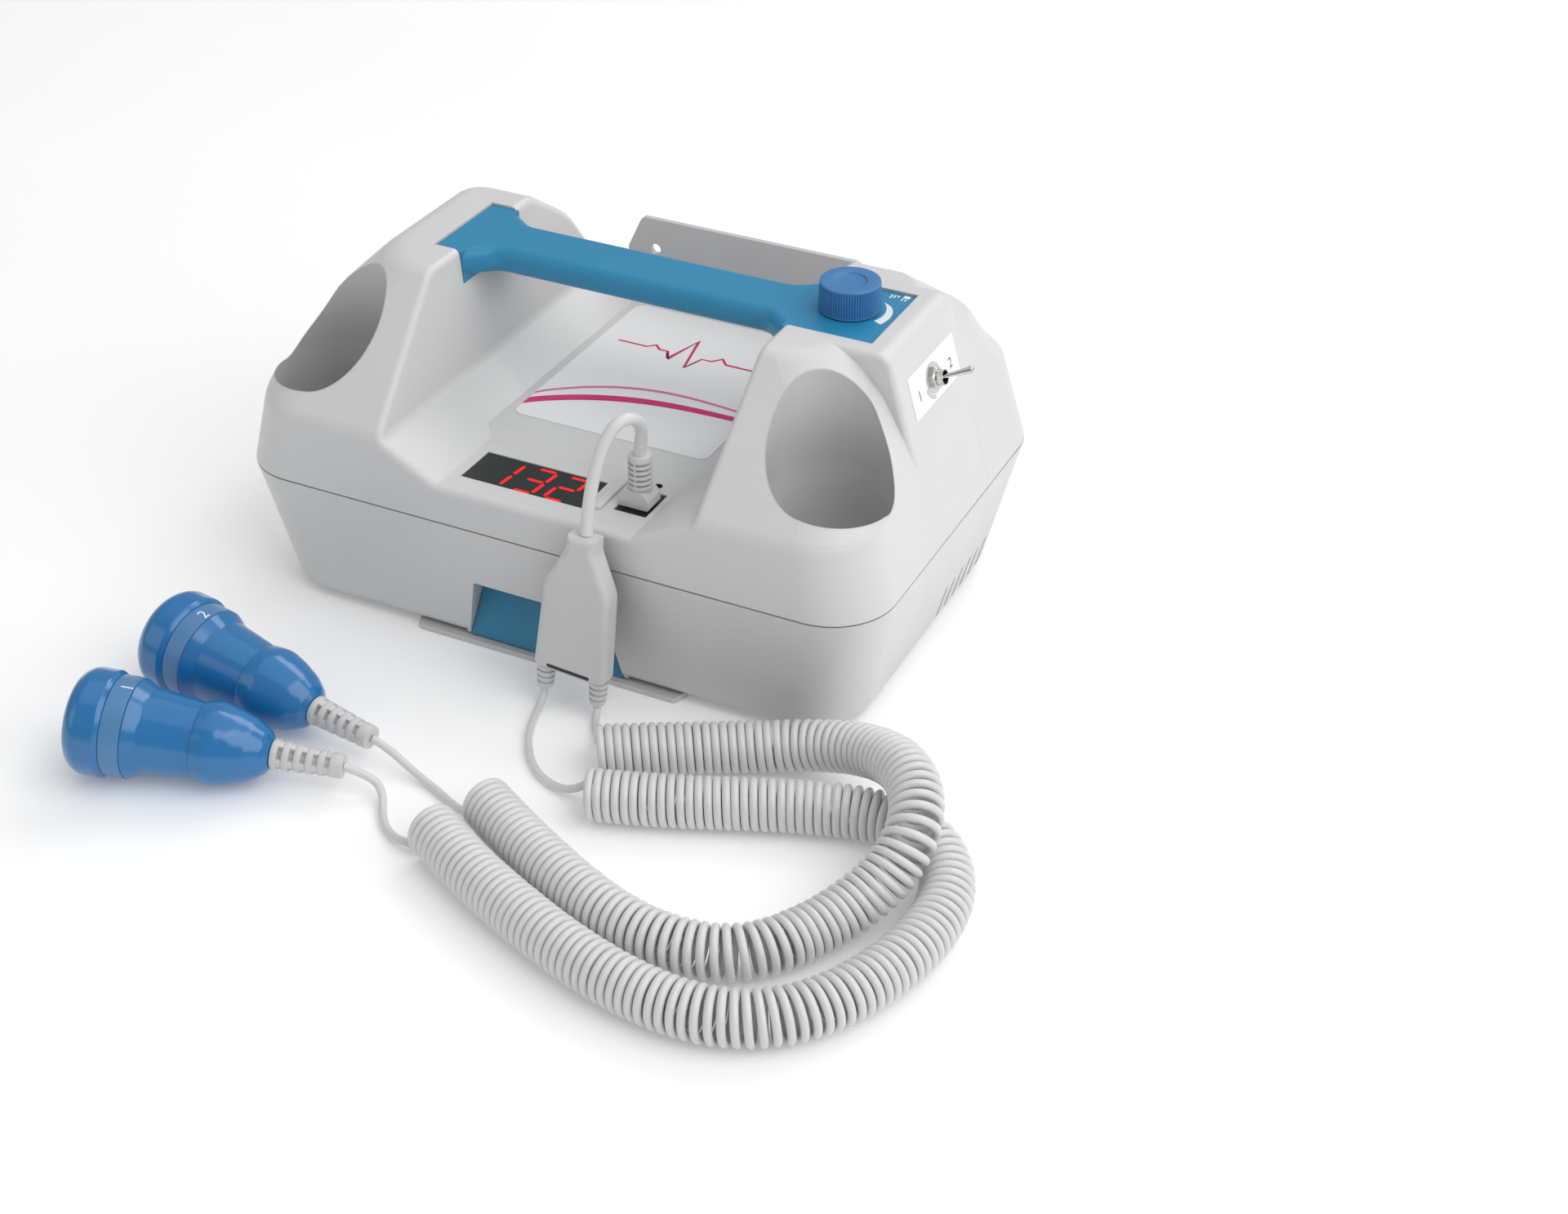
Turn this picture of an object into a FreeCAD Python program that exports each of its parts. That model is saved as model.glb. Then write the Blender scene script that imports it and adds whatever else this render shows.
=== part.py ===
import FreeCAD, Part
import math
import os

# Two-probe fetal doppler monitor with carrying handle, wall bracket and coiled probe leads.
# Millimetres. +X right, +Y back, +Z up. Origin on the underside of the bracket's bottom
# plate, below the middle of the handle. The housing is drawn upright, as it stands in use.

V = FreeCAD.Vector
os.makedirs("parts", exist_ok=True)

# ---------------------------------------------------------------- driving dimensions
WALL = 2.5                       # housing wall
SEAM_Z = 58.3                    # parting line between the shells
HALF_X = 142.5                   # half width at the seam
FRONT_Y, REAR_Y = -96.4, 87.9    # depth at the seam
CORNER_R = 26.5                  # plan corner radius
TOP_Z = 138.2                    # plateau of both towers
BASE_Z = 3.5                     # underside of the housing, on its feet
UP_L, UP_R, UP_F, UP_B = 0.2215, 0.287, 0.109, 0.2155      # upper wall lean, mm per mm
LO_X, LO_F, LO_B = 0.2053, 0.1122, 0.2493                  # lower wall lean
CH_TOP, CH_VAL, CH_DECK = 72.5, 69.0, 43.5                 # channel half widths
CH_VAL_Z, PANEL_Z, DECK_Z = 86.0, 73.8, 76.3
DECK_Y0, DECK_Y1 = -52.4, -46.5                            # riser between panel and deck
HOLD_X, HOLD_Y, HOLD_R, TUBE_R = 110.9, -61.7, 24.07, 26.5 # probe holders
HOLD_RB = 23.6                   # bore of the holders below the mouth
HOLD_FLOOR = 38.0
PAD_Z, PAD_T = 137.2, 3.0
PAD_Y = 22.3
PADL_X, PADR_X, PAD_IN = 84.3, 109.2, 71.4
BAR_Y0, BAR_Y1, BAR_Z0 = -13.0, 14.0, 125.8
KNOB_X, KNOB_Y, KNOB_R, KNOB_Z0, KNOB_Z1 = 89.2, 2.1, 12.2, 137.6, 149.4
SHAFT_R, FIT = 3.0, 0.05
WIN = (-38.8, 16.0, -83.4, -62.5)                          # display window x, x, y, y
SOCK = (27.1, 41.3, -78.6, -60.6)                          # probe socket x, x, y, y
JACK = (34.6, -55.9)
BR_HALF, BR_T, BR_REAR, BR_TOP, BR_FRONT = 60.0, 2.5, 96.4, 108.8, -92.3
BR_WIDE = 61.8                   # half width of the bottom plate at the front
BR_HOLE_X, BR_HOLE_Z, BR_HOLE_R = 46.2, 94.4, 2.5
TRUNK_D, LEAD_D, COIL_D = 5.0, 3.2, 20.4


def save(name, shape):
    if shape.ShapeType == "Compound" and len(shape.Solids) == 1:
        shape = shape.Solids[0]
    shape.exportStep("parts/%s.step" % name)
    bb = shape.BoundBox
    print("%-18s solids %d valid %s vol %.1f  x %.1f..%.1f y %.1f..%.1f z %.1f..%.1f" % (
        name, len(shape.Solids), shape.isValid(), shape.Volume, bb.XMin, bb.XMax, bb.YMin, bb.YMax, bb.ZMin, bb.ZMax))


def box(x0, x1, y0, y1, z0, z1):
    return Part.makeBox(x1 - x0, y1 - y0, z1 - z0, V(x0, y0, z0))


def cyl(r, p, d, h):
    return Part.makeCylinder(r, h, V(*p), V(*d))


def rounded(pts):
    """Closed 2-D outline (a, b, r) -> list of 2-D lines and arcs."""
    n = len(pts)
    ends = []
    for i in range(n):
        a0, b0 = pts[i - 1][:2]
        a1, b1, r = pts[i]
        a2, b2 = pts[(i + 1) % n][:2]
        u = (a0 - a1, b0 - b1)
        v = (a2 - a1, b2 - b1)
        lu, lv = math.hypot(*u), math.hypot(*v)
        u = (u[0] / lu, u[1] / lu)
        v = (v[0] / lv, v[1] / lv)
        c = max(-1.0, min(1.0, u[0] * v[0] + u[1] * v[1]))
        half = math.acos(c) / 2
        if r <= 0 or half > math.pi / 2 - 1e-4:
            ends.append(((a1, b1), None, (a1, b1)))
            continue
        t = r / math.tan(half)
        p = (a1 + u[0] * t, b1 + u[1] * t)
        q = (a1 + v[0] * t, b1 + v[1] * t)
        m = (u[0] + v[0], u[1] + v[1])
        lm = math.hypot(*m)
        d = r / math.sin(half) - r
        ends.append((p, (a1 + m[0] / lm * d, b1 + m[1] / lm * d), q))
    out = []
    for i in range(n):
        p, mid, q = ends[i]
        if mid:
            out.append((p, mid, q))
        nxt = ends[(i + 1) % n][0]
        if math.hypot(nxt[0] - q[0], nxt[1] - q[1]) > 1e-4:
            out.append((q, nxt))
    return out


def inset(pts, t):
    """Move every side of a closed outline inwards by t; corner radii follow."""
    n = len(pts)
    area = sum(pts[i][0] * pts[(i + 1) % n][1] - pts[(i + 1) % n][0] * pts[i][1] for i in range(n))
    s = 1.0 if area > 0 else -1.0
    lines = []
    for i in range(n):
        a0, b0 = pts[i][:2]
        a1, b1 = pts[(i + 1) % n][:2]
        l = math.hypot(a1 - a0, b1 - b0)
        nx, ny = -(b1 - b0) / l * s, (a1 - a0) / l * s
        lines.append((a0 + nx * t, b0 + ny * t, a1 - a0, b1 - b0))
    out = []
    for i in range(n):
        p, q = lines[i - 1], lines[i]
        det = p[2] * q[3] - p[3] * q[2]
        k = ((q[0] - p[0]) * q[3] - (q[1] - p[1]) * q[2]) / det
        r = pts[i][2]
        convex = det * s > 0
        if r > 0:
            r = max(r - t, 0.4) if convex else r + t
        out.append((p[0] + p[2] * k, p[1] + p[3] * k, r))
    return out


def wire2(pts, to3):
    es = []
    for e in rounded(pts):
        if len(e) == 2:
            es.append(Part.LineSegment(V(*to3(*e[0])), V(*to3(*e[1]))).toShape())
        else:
            es.append(Part.Arc(V(*to3(*e[0])), V(*to3(*e[1])), V(*to3(*e[2]))).toShape())
    return Part.Wire(es)


def prism(pts, plane, lo, hi):
    if plane == "yz":
        w, d = wire2(pts, lambda a, b: (lo, a, b)), V(hi - lo, 0, 0)
    elif plane == "xz":
        w, d = wire2(pts, lambda a, b: (a, lo, b)), V(0, hi - lo, 0)
    else:
        w, d = wire2(pts, lambda a, b: (a, b, lo)), V(0, 0, hi - lo)
    return Part.Face(w).extrude(d)


def framed(pts, o, u, v, w, lo, hi):
    """Outline in the plane (u, v) at o, extruded along w from lo to hi."""
    f = lambda a, b: (o[0] + u[0] * a + v[0] * b + w[0] * lo,
                      o[1] + u[1] * a + v[1] * b + w[1] * lo,
                      o[2] + u[2] * a + v[2] * b + w[2] * lo)
    return Part.Face(wire2(pts, f)).extrude(V(w[0] * (hi - lo), w[1] * (hi - lo), w[2] * (hi - lo)))


def rr(x0, x1, y0, y1, r, z):
    return wire2([(x0, y0, r), (x1, y0, r), (x1, y1, r), (x0, y1, r)], lambda a, b: (a, b, z))


def loft(*ws):
    return Part.makeLoft(list(ws), True, True)


def lathe(pts, o, d):
    """Profile (s, r) with corner radii, closed on the axis, turned about o + s d."""
    up = V(0, 0, 1) if abs(d[2]) < 0.9 else V(1, 0, 0)
    a = V(*d)
    a.normalize()
    b = a.cross(up).cross(a)
    b.normalize()
    O = V(*o)
    f = lambda s, r: tuple(O + a * s + b * r)
    face = Part.Face(wire2(pts, f))
    return face.revolve(O, a, 360)


def try_fillet(shape, r, pick, label):
    """Round the picked edges together, or else one after another."""
    def ok(out, base):
        return out.isValid() and len(out.Solids) == 1 and abs(out.Volume - base.Volume) < 0.06 * base.Volume + 400
    es = [e for e in shape.Edges if pick(e)]
    if not es:
        print("  edges", label, "none")
        return shape
    for rad in (r, r * 0.8):
        try:
            out = shape.makeFillet(rad, es)
            if ok(out, shape):
                print("  edges", label, "ok r", rad, "count", len(es))
                return out
        except Exception:
            pass
    mids = [e.valueAt((e.FirstParameter + e.LastParameter) / 2) for e in sorted(es, key=lambda e: -e.Length)]
    done = 0
    for m in mids:
        best = min(shape.Edges, key=lambda e: (e.valueAt((e.FirstParameter + e.LastParameter) / 2) - m).Length)
        if (best.valueAt((best.FirstParameter + best.LastParameter) / 2) - m).Length > 0.6:
            continue
        for rad in (r, r * 0.7, r * 0.45):
            try:
                out = shape.makeFillet(rad, [best])
                if ok(out, shape):
                    shape = out
                    done += 1
                    break
            except Exception:
                pass
    print("  edges", label, "single", done, "of", len(mids), [tuple(round(c, 1) for c in m) for m in mids])
    return shape


def near(e, pred):
    try:
        ps = e.discretize(5)
    except Exception:
        return False
    return all(pred(p.x, p.y, p.z) for p in ps)


# ---------------------------------------------------------------- cord routes
def route(points, d, name):
    P = [V(*p) for p in points]
    edges, start, length, rmin = [], P[0], 0.0, 1e9
    radii = []
    for i in range(1, len(P) - 1):
        a, b = P[i - 1] - P[i], P[i + 1] - P[i]
        la, lb = a.Length, b.Length
        ua, ub = a * (1 / la), b * (1 / lb)
        turn = math.pi - math.acos(max(-1, min(1, ua.dot(ub))))
        r = 0.45 * min(la, lb) / math.tan(turn / 2)
        t = 0.45 * min(la, lb)
        p, q = P[i] + ua * t, P[i] + ub * t
        m = ua + ub
        m.normalize()
        mid = P[i] + m * (r / math.cos(turn / 2) - r)
        edges.append(Part.LineSegment(start, p).toShape())
        edges.append(Part.Arc(p, mid, q).toShape())
        length += (p - start).Length + r * turn
        start = q
        radii.append(round(r, 1))
    edges.append(Part.LineSegment(start, P[-1]).toShape())
    length += (P[-1] - start).Length
    w = Part.Wire(edges)
    t0 = P[1] - P[0]
    t0.normalize()
    sec = Part.Wire([Part.Circle(P[0], t0, d / 2).toShape()])
    s = w.makePipeShell([sec], True, False)
    if not s.isValid() or s.Volume < 0:
        print("  route", name, "invalid pipe")
    print("  route %s length %.1f min radius %.1f (%.1f d) volume ratio %.4f radii %s" % (
        name, length, min(radii), min(radii) / d, s.Volume / (math.pi * d * d / 4 * length), radii))
    return s


# ================================================================ upper shell
def fy(z):
    return FRONT_Y + UP_F * (z - SEAM_Z)


def ry(z):
    return REAR_Y - UP_B * (z - SEAM_Z)


def lx(z):
    return HALF_X - UP_L * (z - SEAM_Z)


def rx(z):
    return HALF_X - UP_R * (z - SEAM_Z)


E = 0.03
YZ = [(fy(50) - E, 50, 0), (fy(88.0) - E, 88.0, 10), (-43.4, TOP_Z, 9), (35.5, TOP_Z, 12),
      (63.0, 119.5, 40), (ry(97) + E, 97, 14), (ry(50) + E, 50, 0)]
YZR = YZ[:3] + [(39.5, TOP_Z, 12)] + YZ[4:]          # the right tower's plateau runs further back
SH = [(102.9, TOP_Z, 12), (119.5, 121.5, 40), (lx(97.3) + E, 97.3, 40), (lx(50) + E, 50, 0)]


BLOCK_Y, BLOCK_YR = -30.0, 33.0  # front and rear faces of the raised block that carries the switch
OVER, OVER_R = 4.0, 6.5          # the lower ground runs on under the block's rounded edges


SHR = [(102.6, TOP_Z, 12), (119.2, 121.2, 40), (rx(107.0) + E, 107.0, 30), (lx(91.5) + E, 91.5, 30), (lx(50) + E, 50, 0)]    # right tower at its holder
SHB = [(102.6, TOP_Z, 12), (118.0, 121.2, 20), (126.5, 105.8, 30), (rx(91.0) + E, 91.0, 4), (rx(50) + E, 50, 0)]              # right tower at the block


def heights(pts):
    """Rounded profile (across, up) as a table of (z, across), rising."""
    out = []
    for e in rounded(pts)[:-1]:
        if len(e) == 2:
            out += [e[0], e[1]]
        else:
            arc = Part.Arc(V(e[0][0], e[0][1], 0), V(e[1][0], e[1][1], 0), V(e[2][0], e[2][1], 0)).toShape()
            out += [(q.x, q.y) for q in arc.discretize(25)]
    out = sorted(((z, v) for v, z in out), key=lambda q: q[0])
    keep = [out[0]]
    for q in out[1:]:
        if q[0] > keep[-1][0] + 1e-4:
            keep.append(q)
    return keep


YF = heights([(fy(50), 50, 0), (fy(88.0), 88.0, 10), (-43.4, TOP_Z, 9), (0, TOP_Z, 0), (0, 50, 0)])
XL = heights([(-lx(50), 50, 0), (-lx(97.3), 97.3, 40), (-119.5, 121.5, 40), (-102.9, TOP_Z, 12), (0, TOP_Z, 0), (0, 50, 0)])
XR = heights([(-lx(50), 50, 0), (-lx(91.5), 91.5, 30), (-rx(107.0), 107.0, 30), (-119.2, 121.2, 40), (-102.6, TOP_Z, 12), (0, TOP_Z, 0), (0, 50, 0)])
YF, XL, XR = ([q for q in t if q[0] < TOP_Z - 1e-6 or q == t[-1]] for t in (YF, XL, XR))
YR = [(50, ry(50)), (97.15, ry(97.0)), (119.5, 63.0), (140, 32.85)]
XS = [(50, lx(50)), (97.3, lx(97.3)), (121.5, 119.5), (140, 101.1)]
YRR = YR[:3] + [(140, 37.24)]
XSR = [XS[0], (97.3, 132.9), (121.5, 122.6), (140, 107.0)]
RL = [(50, CORNER_R), (97.15, CORNER_R), (138.2, 12.0), (140, 12.0)]             # rear corner radius, left
RR = [(50, CORNER_R), (58.6, CORNER_R), (97.15, 24.0), (107.0, 26.0), (121.5, 21.0), (138.2, 20.0), (140, 20.0)]     # and right


def at(table, z):
    for (z0, v0), (z1, v1) in zip(table, table[1:]):
        if z <= z1:
            return v0 + (v1 - v0) * (z - z0) / (z1 - z0)
    return table[-1][1]


def shoulder(side, t=0.0):
    """Solid kept by the outer shoulder profile of one tower."""
    pts = [(-side * 200, 50, 0), (-side * 200, TOP_Z, 0)] + [(side * a, b, r) for a, b, r in SH]
    if t:
        pts = inset(pts, t)
    return pts


def ease(k):
    k = max(0.0, min(1.0, k))
    return k * k * (3 - 2 * k)


def tower_side(t, ys, near_k0, near_k1):
    """Ruled solid through upright sections that change from one outline to the other."""
    ws = []
    for y, k in ys:
        mix = [tuple(p + (q - p) * k for p, q in zip(a, b)) for a, b in zip(near_k0, near_k1)]
        pts = [(-200, 50, 0), (-200, TOP_Z, 0)] + mix
        if t:
            pts = inset(pts, t)
        ws.append(wire2(pts, lambda a, b: (a, y, b)))
    return Part.makeLoft(ws, True, True)


def right_front(t):
    """The right tower's front: full width at the holder, easing back to the leaning side face."""
    by = BLOCK_Y + t
    ys = [(-140.0, 0.0), (-68.0, 0.0)] + [(-68.0 + (by + 68.0) * i / 8.0, ease(i / 8.0)) for i in range(1, 9)] + [(by + OVER + 1, 1.0)]
    return tower_side(t, ys, SHR, SHB)


def right_rear(t):
    """The right tower's rear: easing out from the leaning side face to the full width."""
    by = BLOCK_YR - t
    ys = [(by - OVER_R - 1, 1.0), (by, 1.0)] + [(by + (62.0 - by) * i / 8.0, 1 - ease(i / 8.0)) for i in range(1, 9)] + [(140.0, 0.0)]
    top = [(108.0, TOP_Z, 12), (122.6, 121.5, 40)]
    return tower_side(t, ys, top + [(132.9 + E, 97.3, 30), (lx(50) + E, 50, 0)], top + [(rx(97.3) + E, 97.3, 30), (rx(50) + E, 50, 0)])


def corners(t):
    """Rounded front corners that run up into both slopes."""
    ws = []
    for z in (50, 80, 85.5, 87.5, 89.5, 92, 95, 99, 103, 107, 111, 115, 119, 123, 127, 130, 132.5, 134.4, 135.6, 136.5, 137.2, 137.7, 138.0, 138.15, TOP_Z, 140):
        g = t + (0.12 if t else 0.0) - 0.10
        ws.append(rr(at(XL, z) + g, -at(XR, z) - g, at(YF, z) + g, 160, CORNER_R - t, z))
    return Part.makeLoft(ws, True, True)


def corners_rear(t, radii, side, xs, yr):
    """Rounded rear corner of one tower, tighter towards the top."""
    ws = []
    for z in (50, 58.6, 97.15, 107.0, 119.5, 121.5, 130.0, 138.2, 140):
        x, y, r = at(xs, z) + 0.07 - t, at(yr, z) + 0.07 - t, at(radii, z) - t
        pts = [(-20 * side, -160, 0), (x * side, -160, 0), (x * side, y, r), (-20 * side, y, 0)]
        ws.append(wire2(pts, lambda a, b: (a, b, z)))
    return Part.makeLoft(ws, True, True)


def skin(t):
    """Outer form of the upper shell, moved inwards by t."""
    z0 = SEAM_Z + 0.3
    zt = 140.0
    slab = prism(inset(YZ, t) if t else YZ, "yz", -200, 200)
    wide = loft(rr(-lx(z0) + t, lx(z0) - t, fy(z0) + t, ry(z0) - t, CORNER_R - t, z0),
                rr(-lx(zt) + t, lx(zt) - t, fy(zt) + t, ry(zt) - t, CORNER_R - t, zt))
    wide = wide.common(slab).common(corners(t))
    left = wide.common(corners_rear(t, RL, -1, XS, YR)).common(prism(shoulder(-1, t), "xz", -200, 200)).common(box(-300, 0, -300, 300, 0, 300))
    front = wide.common(right_front(t)).common(box(0, 300, -300, BLOCK_Y + t + OVER, 0, 300))
    slab_r = prism(inset(YZR, t) if t else YZR, "yz", -200, 200)
    rear = slab_r.common(right_rear(t)).common(corners_rear(t, RR, 1, XSR, YRR)).common(box(0, 300, BLOCK_YR - t - OVER_R, 300, z0, 300))
    out = [(0, z0, 0), (0, TOP_Z, 0), (rx(TOP_Z), TOP_Z, 7.0), (rx(z0), z0, 0)]
    if t:
        out = [(0, z0, 0), (0, TOP_Z - t, 0), (rx(TOP_Z - t) - t * 1.04, TOP_Z - t, 4.5), (rx(z0) - t * 1.04, z0, 0)]
    block = prism(out, "xz", BLOCK_Y + t, BLOCK_YR - t)
    if not t:
        block = try_fillet(block, 2.3, lambda e: near(e, lambda x, y, z: abs(y - BLOCK_Y) < 0.02 and z > z0 + 0.01 or abs(y - BLOCK_Y) < 0.02 and x > 130), "block front")
        block = try_fillet(block, 5.0, lambda e: near(e, lambda x, y, z: abs(y - BLOCK_YR) < 0.02 and z > z0 + 0.01 or abs(y - BLOCK_YR) < 0.02 and x > 130), "block rear")
    body = left.fuse(front).fuse(block).fuse(rear)
    print("  skin", t, [(n, p.isValid(), len(p.Solids)) for n, p in (("left", left), ("front", front), ("block", block), ("rear", rear), ("body", body))])
    return body.removeSplitter()


def channel(t):
    """Space between the towers, widened by t."""
    h = 160.0
    k = (CH_TOP - CH_VAL) / (TOP_Z - CH_VAL_Z)
    top = CH_TOP + k * (h - TOP_Z)
    pts = [(-CH_DECK, PANEL_Z, 3), (CH_DECK, PANEL_Z, 3), (CH_VAL, CH_VAL_Z, 5), (top, h, 0), (-top, h, 0), (-CH_VAL, CH_VAL_Z, 5)]
    if t:
        pts = inset(pts, -t)
    c = prism(pts, "xz", -200, 200)
    fill = prism([(DECK_Y0 + t * 0.45, 60, 0), (DECK_Y0 + t * 0.45, PANEL_Z - t, 0), (DECK_Y1 + t * 0.3, DECK_Z - t, 0),
                  (200, DECK_Z - t, 0), (200, 60, 0)], "yz", -200, 200)
    return c.cut(fill)


outer = skin(0.0)
print("outer", outer.isValid(), len(outer.Solids), outer.Volume)
outer = outer.cut(channel(0.0))
print("outer cut", outer.isValid(), len(outer.Solids), outer.Volume)

# soft edges of the housing
outer = try_fillet(outer, 3.0, lambda e: near(e, lambda x, y, z: abs(abs(x) - CH_TOP) < 0.05 and abs(z - TOP_Z) < 0.05), "tower inner")


inner = skin(WALL).cut(channel(WALL))
print("inner", inner.isValid(), len(inner.Solids), inner.Volume)

# pockets of the probe holders, with a slight step down to the floor
pock_out, pock_in = [], []
for s in (-1, 1):
    c = (s * HOLD_X, HOLD_Y)
    pock_out.append(cyl(TUBE_R, (c[0], c[1], 66.0), (0, 0, 1), 80))
    pock_out.append(Part.makeCone(24.0, 25.8, 31.0, V(c[0], c[1], HOLD_FLOOR - 2.5), V(0, 0, 1)))
    well = lathe([(HOLD_FLOOR, 0, 0), (HOLD_FLOOR, 22.0, 2.0), (70.0, HOLD_RB, 0), (84.0, HOLD_RB, 0), (94.0, HOLD_R, 0), (160.0, HOLD_R, 0), (160.0, 0, 0)],
                 (c[0], c[1], 0), (0, 0, 1))
    pock_in.append(well)

cavity = inner
for p in pock_out:
    cavity = cavity.cut(p)
# backing under the handle pads, behind the flanges and round the window
back = [box(-PADL_X - 2.5, -CH_VAL, -PAD_Y - 2.5, PAD_Y + 2.5, PAD_Z - PAD_T - 2.8, TOP_Z),
        box(CH_VAL, PADR_X + 2.5, -PAD_Y - 2.5, PAD_Y + 2.5, PAD_Z - PAD_T - 2.8, TOP_Z),
        box(-CH_TOP - 5.0, -CH_VAL, -PAD_Y - 2.5, PAD_Y + 2.5, 120.5, TOP_Z),
        box(CH_VAL, CH_TOP + 5.0, -PAD_Y - 2.5, PAD_Y + 2.5, 120.5, TOP_Z)]
for b in back:
    cavity = cavity.cut(b)
shell = outer.cut(cavity)
# the lower walls of the pockets hang below the seam
for s in (-1, 1):
    shell = shell.fuse(Part.makeCone(24.0, 25.8, 31.0, V(s * HOLD_X, HOLD_Y, HOLD_FLOOR - 2.5), V(0, 0, 1)))
for p in pock_in:
    shell = shell.cut(p)
# pad pockets and flange seats
PX = 0.15
for s, xe in ((-1, PADL_X), (1, PADR_X)):
    a, b = sorted((s * (xe + PX), s * (PAD_IN - 3.0)))
    shell = shell.cut(box(a, b, -PAD_Y - PX, PAD_Y + PX, PAD_Z - PAD_T, 150))
    a, b = sorted((s * (CH_TOP + 2.0), s * (PAD_IN - 3.0)))
    shell = shell.cut(box(a, b, -PAD_Y - PX, PAD_Y + PX, 123.3 - PX, 150))
# potentiometer bushing hole
shell = shell.cut(cyl(4.0, (KNOB_X, KNOB_Y, 125), (0, 0, 1), 12))
# window, socket and earphone openings
shell = shell.cut(box(WIN[0], WIN[1], WIN[2], WIN[3], 60, 90))
shell = shell.cut(box(SOCK[0], SOCK[1], SOCK[2], SOCK[3], 60, 90))
shell = shell.cut(cyl(1.9, (JACK[0], JACK[1], 60), (0, 0, 1), 40))
# toggle bushing hole, square to the right facet
FN = V(1, 0, UP_R)
FN.normalize()
FU = V(-FN.z, 0, FN.x)
TB = V(rx(116.8), -0.2, 116.8)
BUSH_R, BUSH_IN = 3.175, 2.8
fn, fu = (FN.x, FN.y, FN.z), (FU.x, FU.y, FU.z)
shell = shell.cut(cyl(BUSH_R + 0.05, tuple(TB - FN * 8), fn, 16))
# rebate for the tongue of the lower shell
z0 = SEAM_Z + 0.3
rb = 1.2
reb = loft(rr(-lx(z0) + rb, rx(z0) - rb, fy(z0) + rb, ry(z0) - rb, CORNER_R - rb, z0 - 0.5),
           rr(-lx(z0) + rb, rx(z0) - rb, fy(z0) + rb, ry(z0) - rb, CORNER_R - rb, z0 + 2.3))
for s in (-1, 1):
    reb = reb.cut(cyl(26.0, (s * HOLD_X, HOLD_Y, 40), (0, 0, 1), 40))
shell = shell.cut(reb)
print("upper shell solids", [round(s.Volume) for s in shell.Solids])
shell = max(shell.Solids, key=lambda s: s.Volume)
save("upper_shell", shell)

# ================================================================ lower shell


def lo(z, t):
    d = SEAM_Z - z
    return (-HALF_X + LO_X * d + t, HALF_X - LO_X * d - t, FRONT_Y + LO_F * d + t, REAR_Y - LO_B * d - t)


def lo_rr(z, t):
    x0, x1, y0, y1 = lo(z, t)
    return rr(x0, x1, y0, y1, CORNER_R - t, z)


zt = SEAM_Z - 0.3
low = loft(lo_rr(BASE_Z, 0), lo_rr(zt, 0))
low = try_fillet(low, 4.0, lambda e: near(e, lambda x, y, z: abs(z - BASE_Z) < 0.01), "base edge")
low = low.cut(loft(lo_rr(BASE_Z + WALL, WALL), lo_rr(zt + 3, WALL)))
tb = rb + 0.15
tongue = loft(lo_rr(zt - 3, 1.35), rr(-lx(z0) + tb, rx(z0) - tb, fy(z0) + tb, ry(z0) - tb, CORNER_R - tb, SEAM_Z + 2.2))
tongue = tongue.cut(loft(lo_rr(zt - 4, WALL + 0.2), rr(-lx(z0) + WALL, rx(z0) - WALL, fy(z0) + WALL, ry(z0) - WALL, CORNER_R - WALL, SEAM_Z + 3)))
tongue = tongue.common(box(-200, 200, -200, 200, zt - 3, SEAM_Z + 2.2))
for s in (-1, 1):
    tongue = tongue.cut(cyl(TUBE_R + 0.3, (s * HOLD_X, HOLD_Y, 40), (0, 0, 1), 60))
low = low.fuse(tongue)
# recess of the latch
LT = 31.5
rec = lambda g, z: 30.0 + 0.2 * (LT - z) + g
wall_out = prism([(-rec(2, 3.5), 3.6, 0), (rec(2, 3.5), 3.6, 0), (rec(2, LT), LT + 2, 0), (-rec(2, LT), LT + 2, 0)], "xz", -93.0, -71.0)
wall_out = wall_out.common(loft(lo_rr(BASE_Z, 0.6), lo_rr(zt, 0.6)))
low = low.fuse(wall_out)
rec_cut = prism([(-rec(0, 0), 0, 0), (rec(0, 0), 0, 0), (rec(0, LT), LT, 1.0), (-rec(0, LT), LT, 1.0)], "xz", -110.0, -73.0)
rec_cut = rec_cut.cut(box(-60, 60, -84.0, -60, 0, BASE_Z + WALL))
low = low.cut(rec_cut)
PIV = (-86.6, 7.2)
low = low.cut(cyl(1.55, (-36.4, PIV[0], PIV[1]), (1, 0, 0), 72.8))
# slanted vent slots in the right wall
for i in range(6):
    y = 1.6 + 8.62 * i
    q = [(y - 0.95, 5.9, 0.6), (y + 0.95, 5.9, 0.6), (y + 5.0, 18.2, 0.6), (y + 3.6, 18.2, 0.6)]
    low = low.cut(prism(q, "yz", 120, 150))
# charging inlet, battery cover and feet seats
low = low.cut(cyl(5.05, (-100, 70, 30), (0, 1, 0), 20))
low = low.cut(box(-50.2, 50.2, -30.2, 55.2, 0, BASE_Z + 1.2)).cut(box(-46, 46, -26, 51, 0, 20))
FEET = [(-104, -66), (104, -66), (-104, 50), (104, 50)]
for x, y in FEET:
    low = low.cut(cyl(8.1, (x, y, 0), (0, 0, 1), BASE_Z + 1.0))
SCREWS = [(-84, -78), (84, -78), (-84, 62), (84, 62)]
for x, y in SCREWS:
    low = low.fuse(cyl(4.5, (x, y, BASE_Z + 1), (0, 0, 1), 44))
    low = low.cut(cyl(3.4, (x, y, 0), (0, 0, 1), BASE_Z + 3.0)).cut(cyl(1.65, (x, y, 0), (0, 0, 1), 60))
print("lower shell solids", [round(s.Volume) for s in low.Solids])
low = max(low.Solids, key=lambda s: s.Volume)
save("lower_shell", low)
for i, (x, y) in enumerate(FEET):
    f = Part.makeCone(7.0, 8.0, 4.45, V(x, y, 0), V(0, 0, 1))
    save("foot_%s" % ("fl", "fr", "rl", "rr")[i], f)
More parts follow.
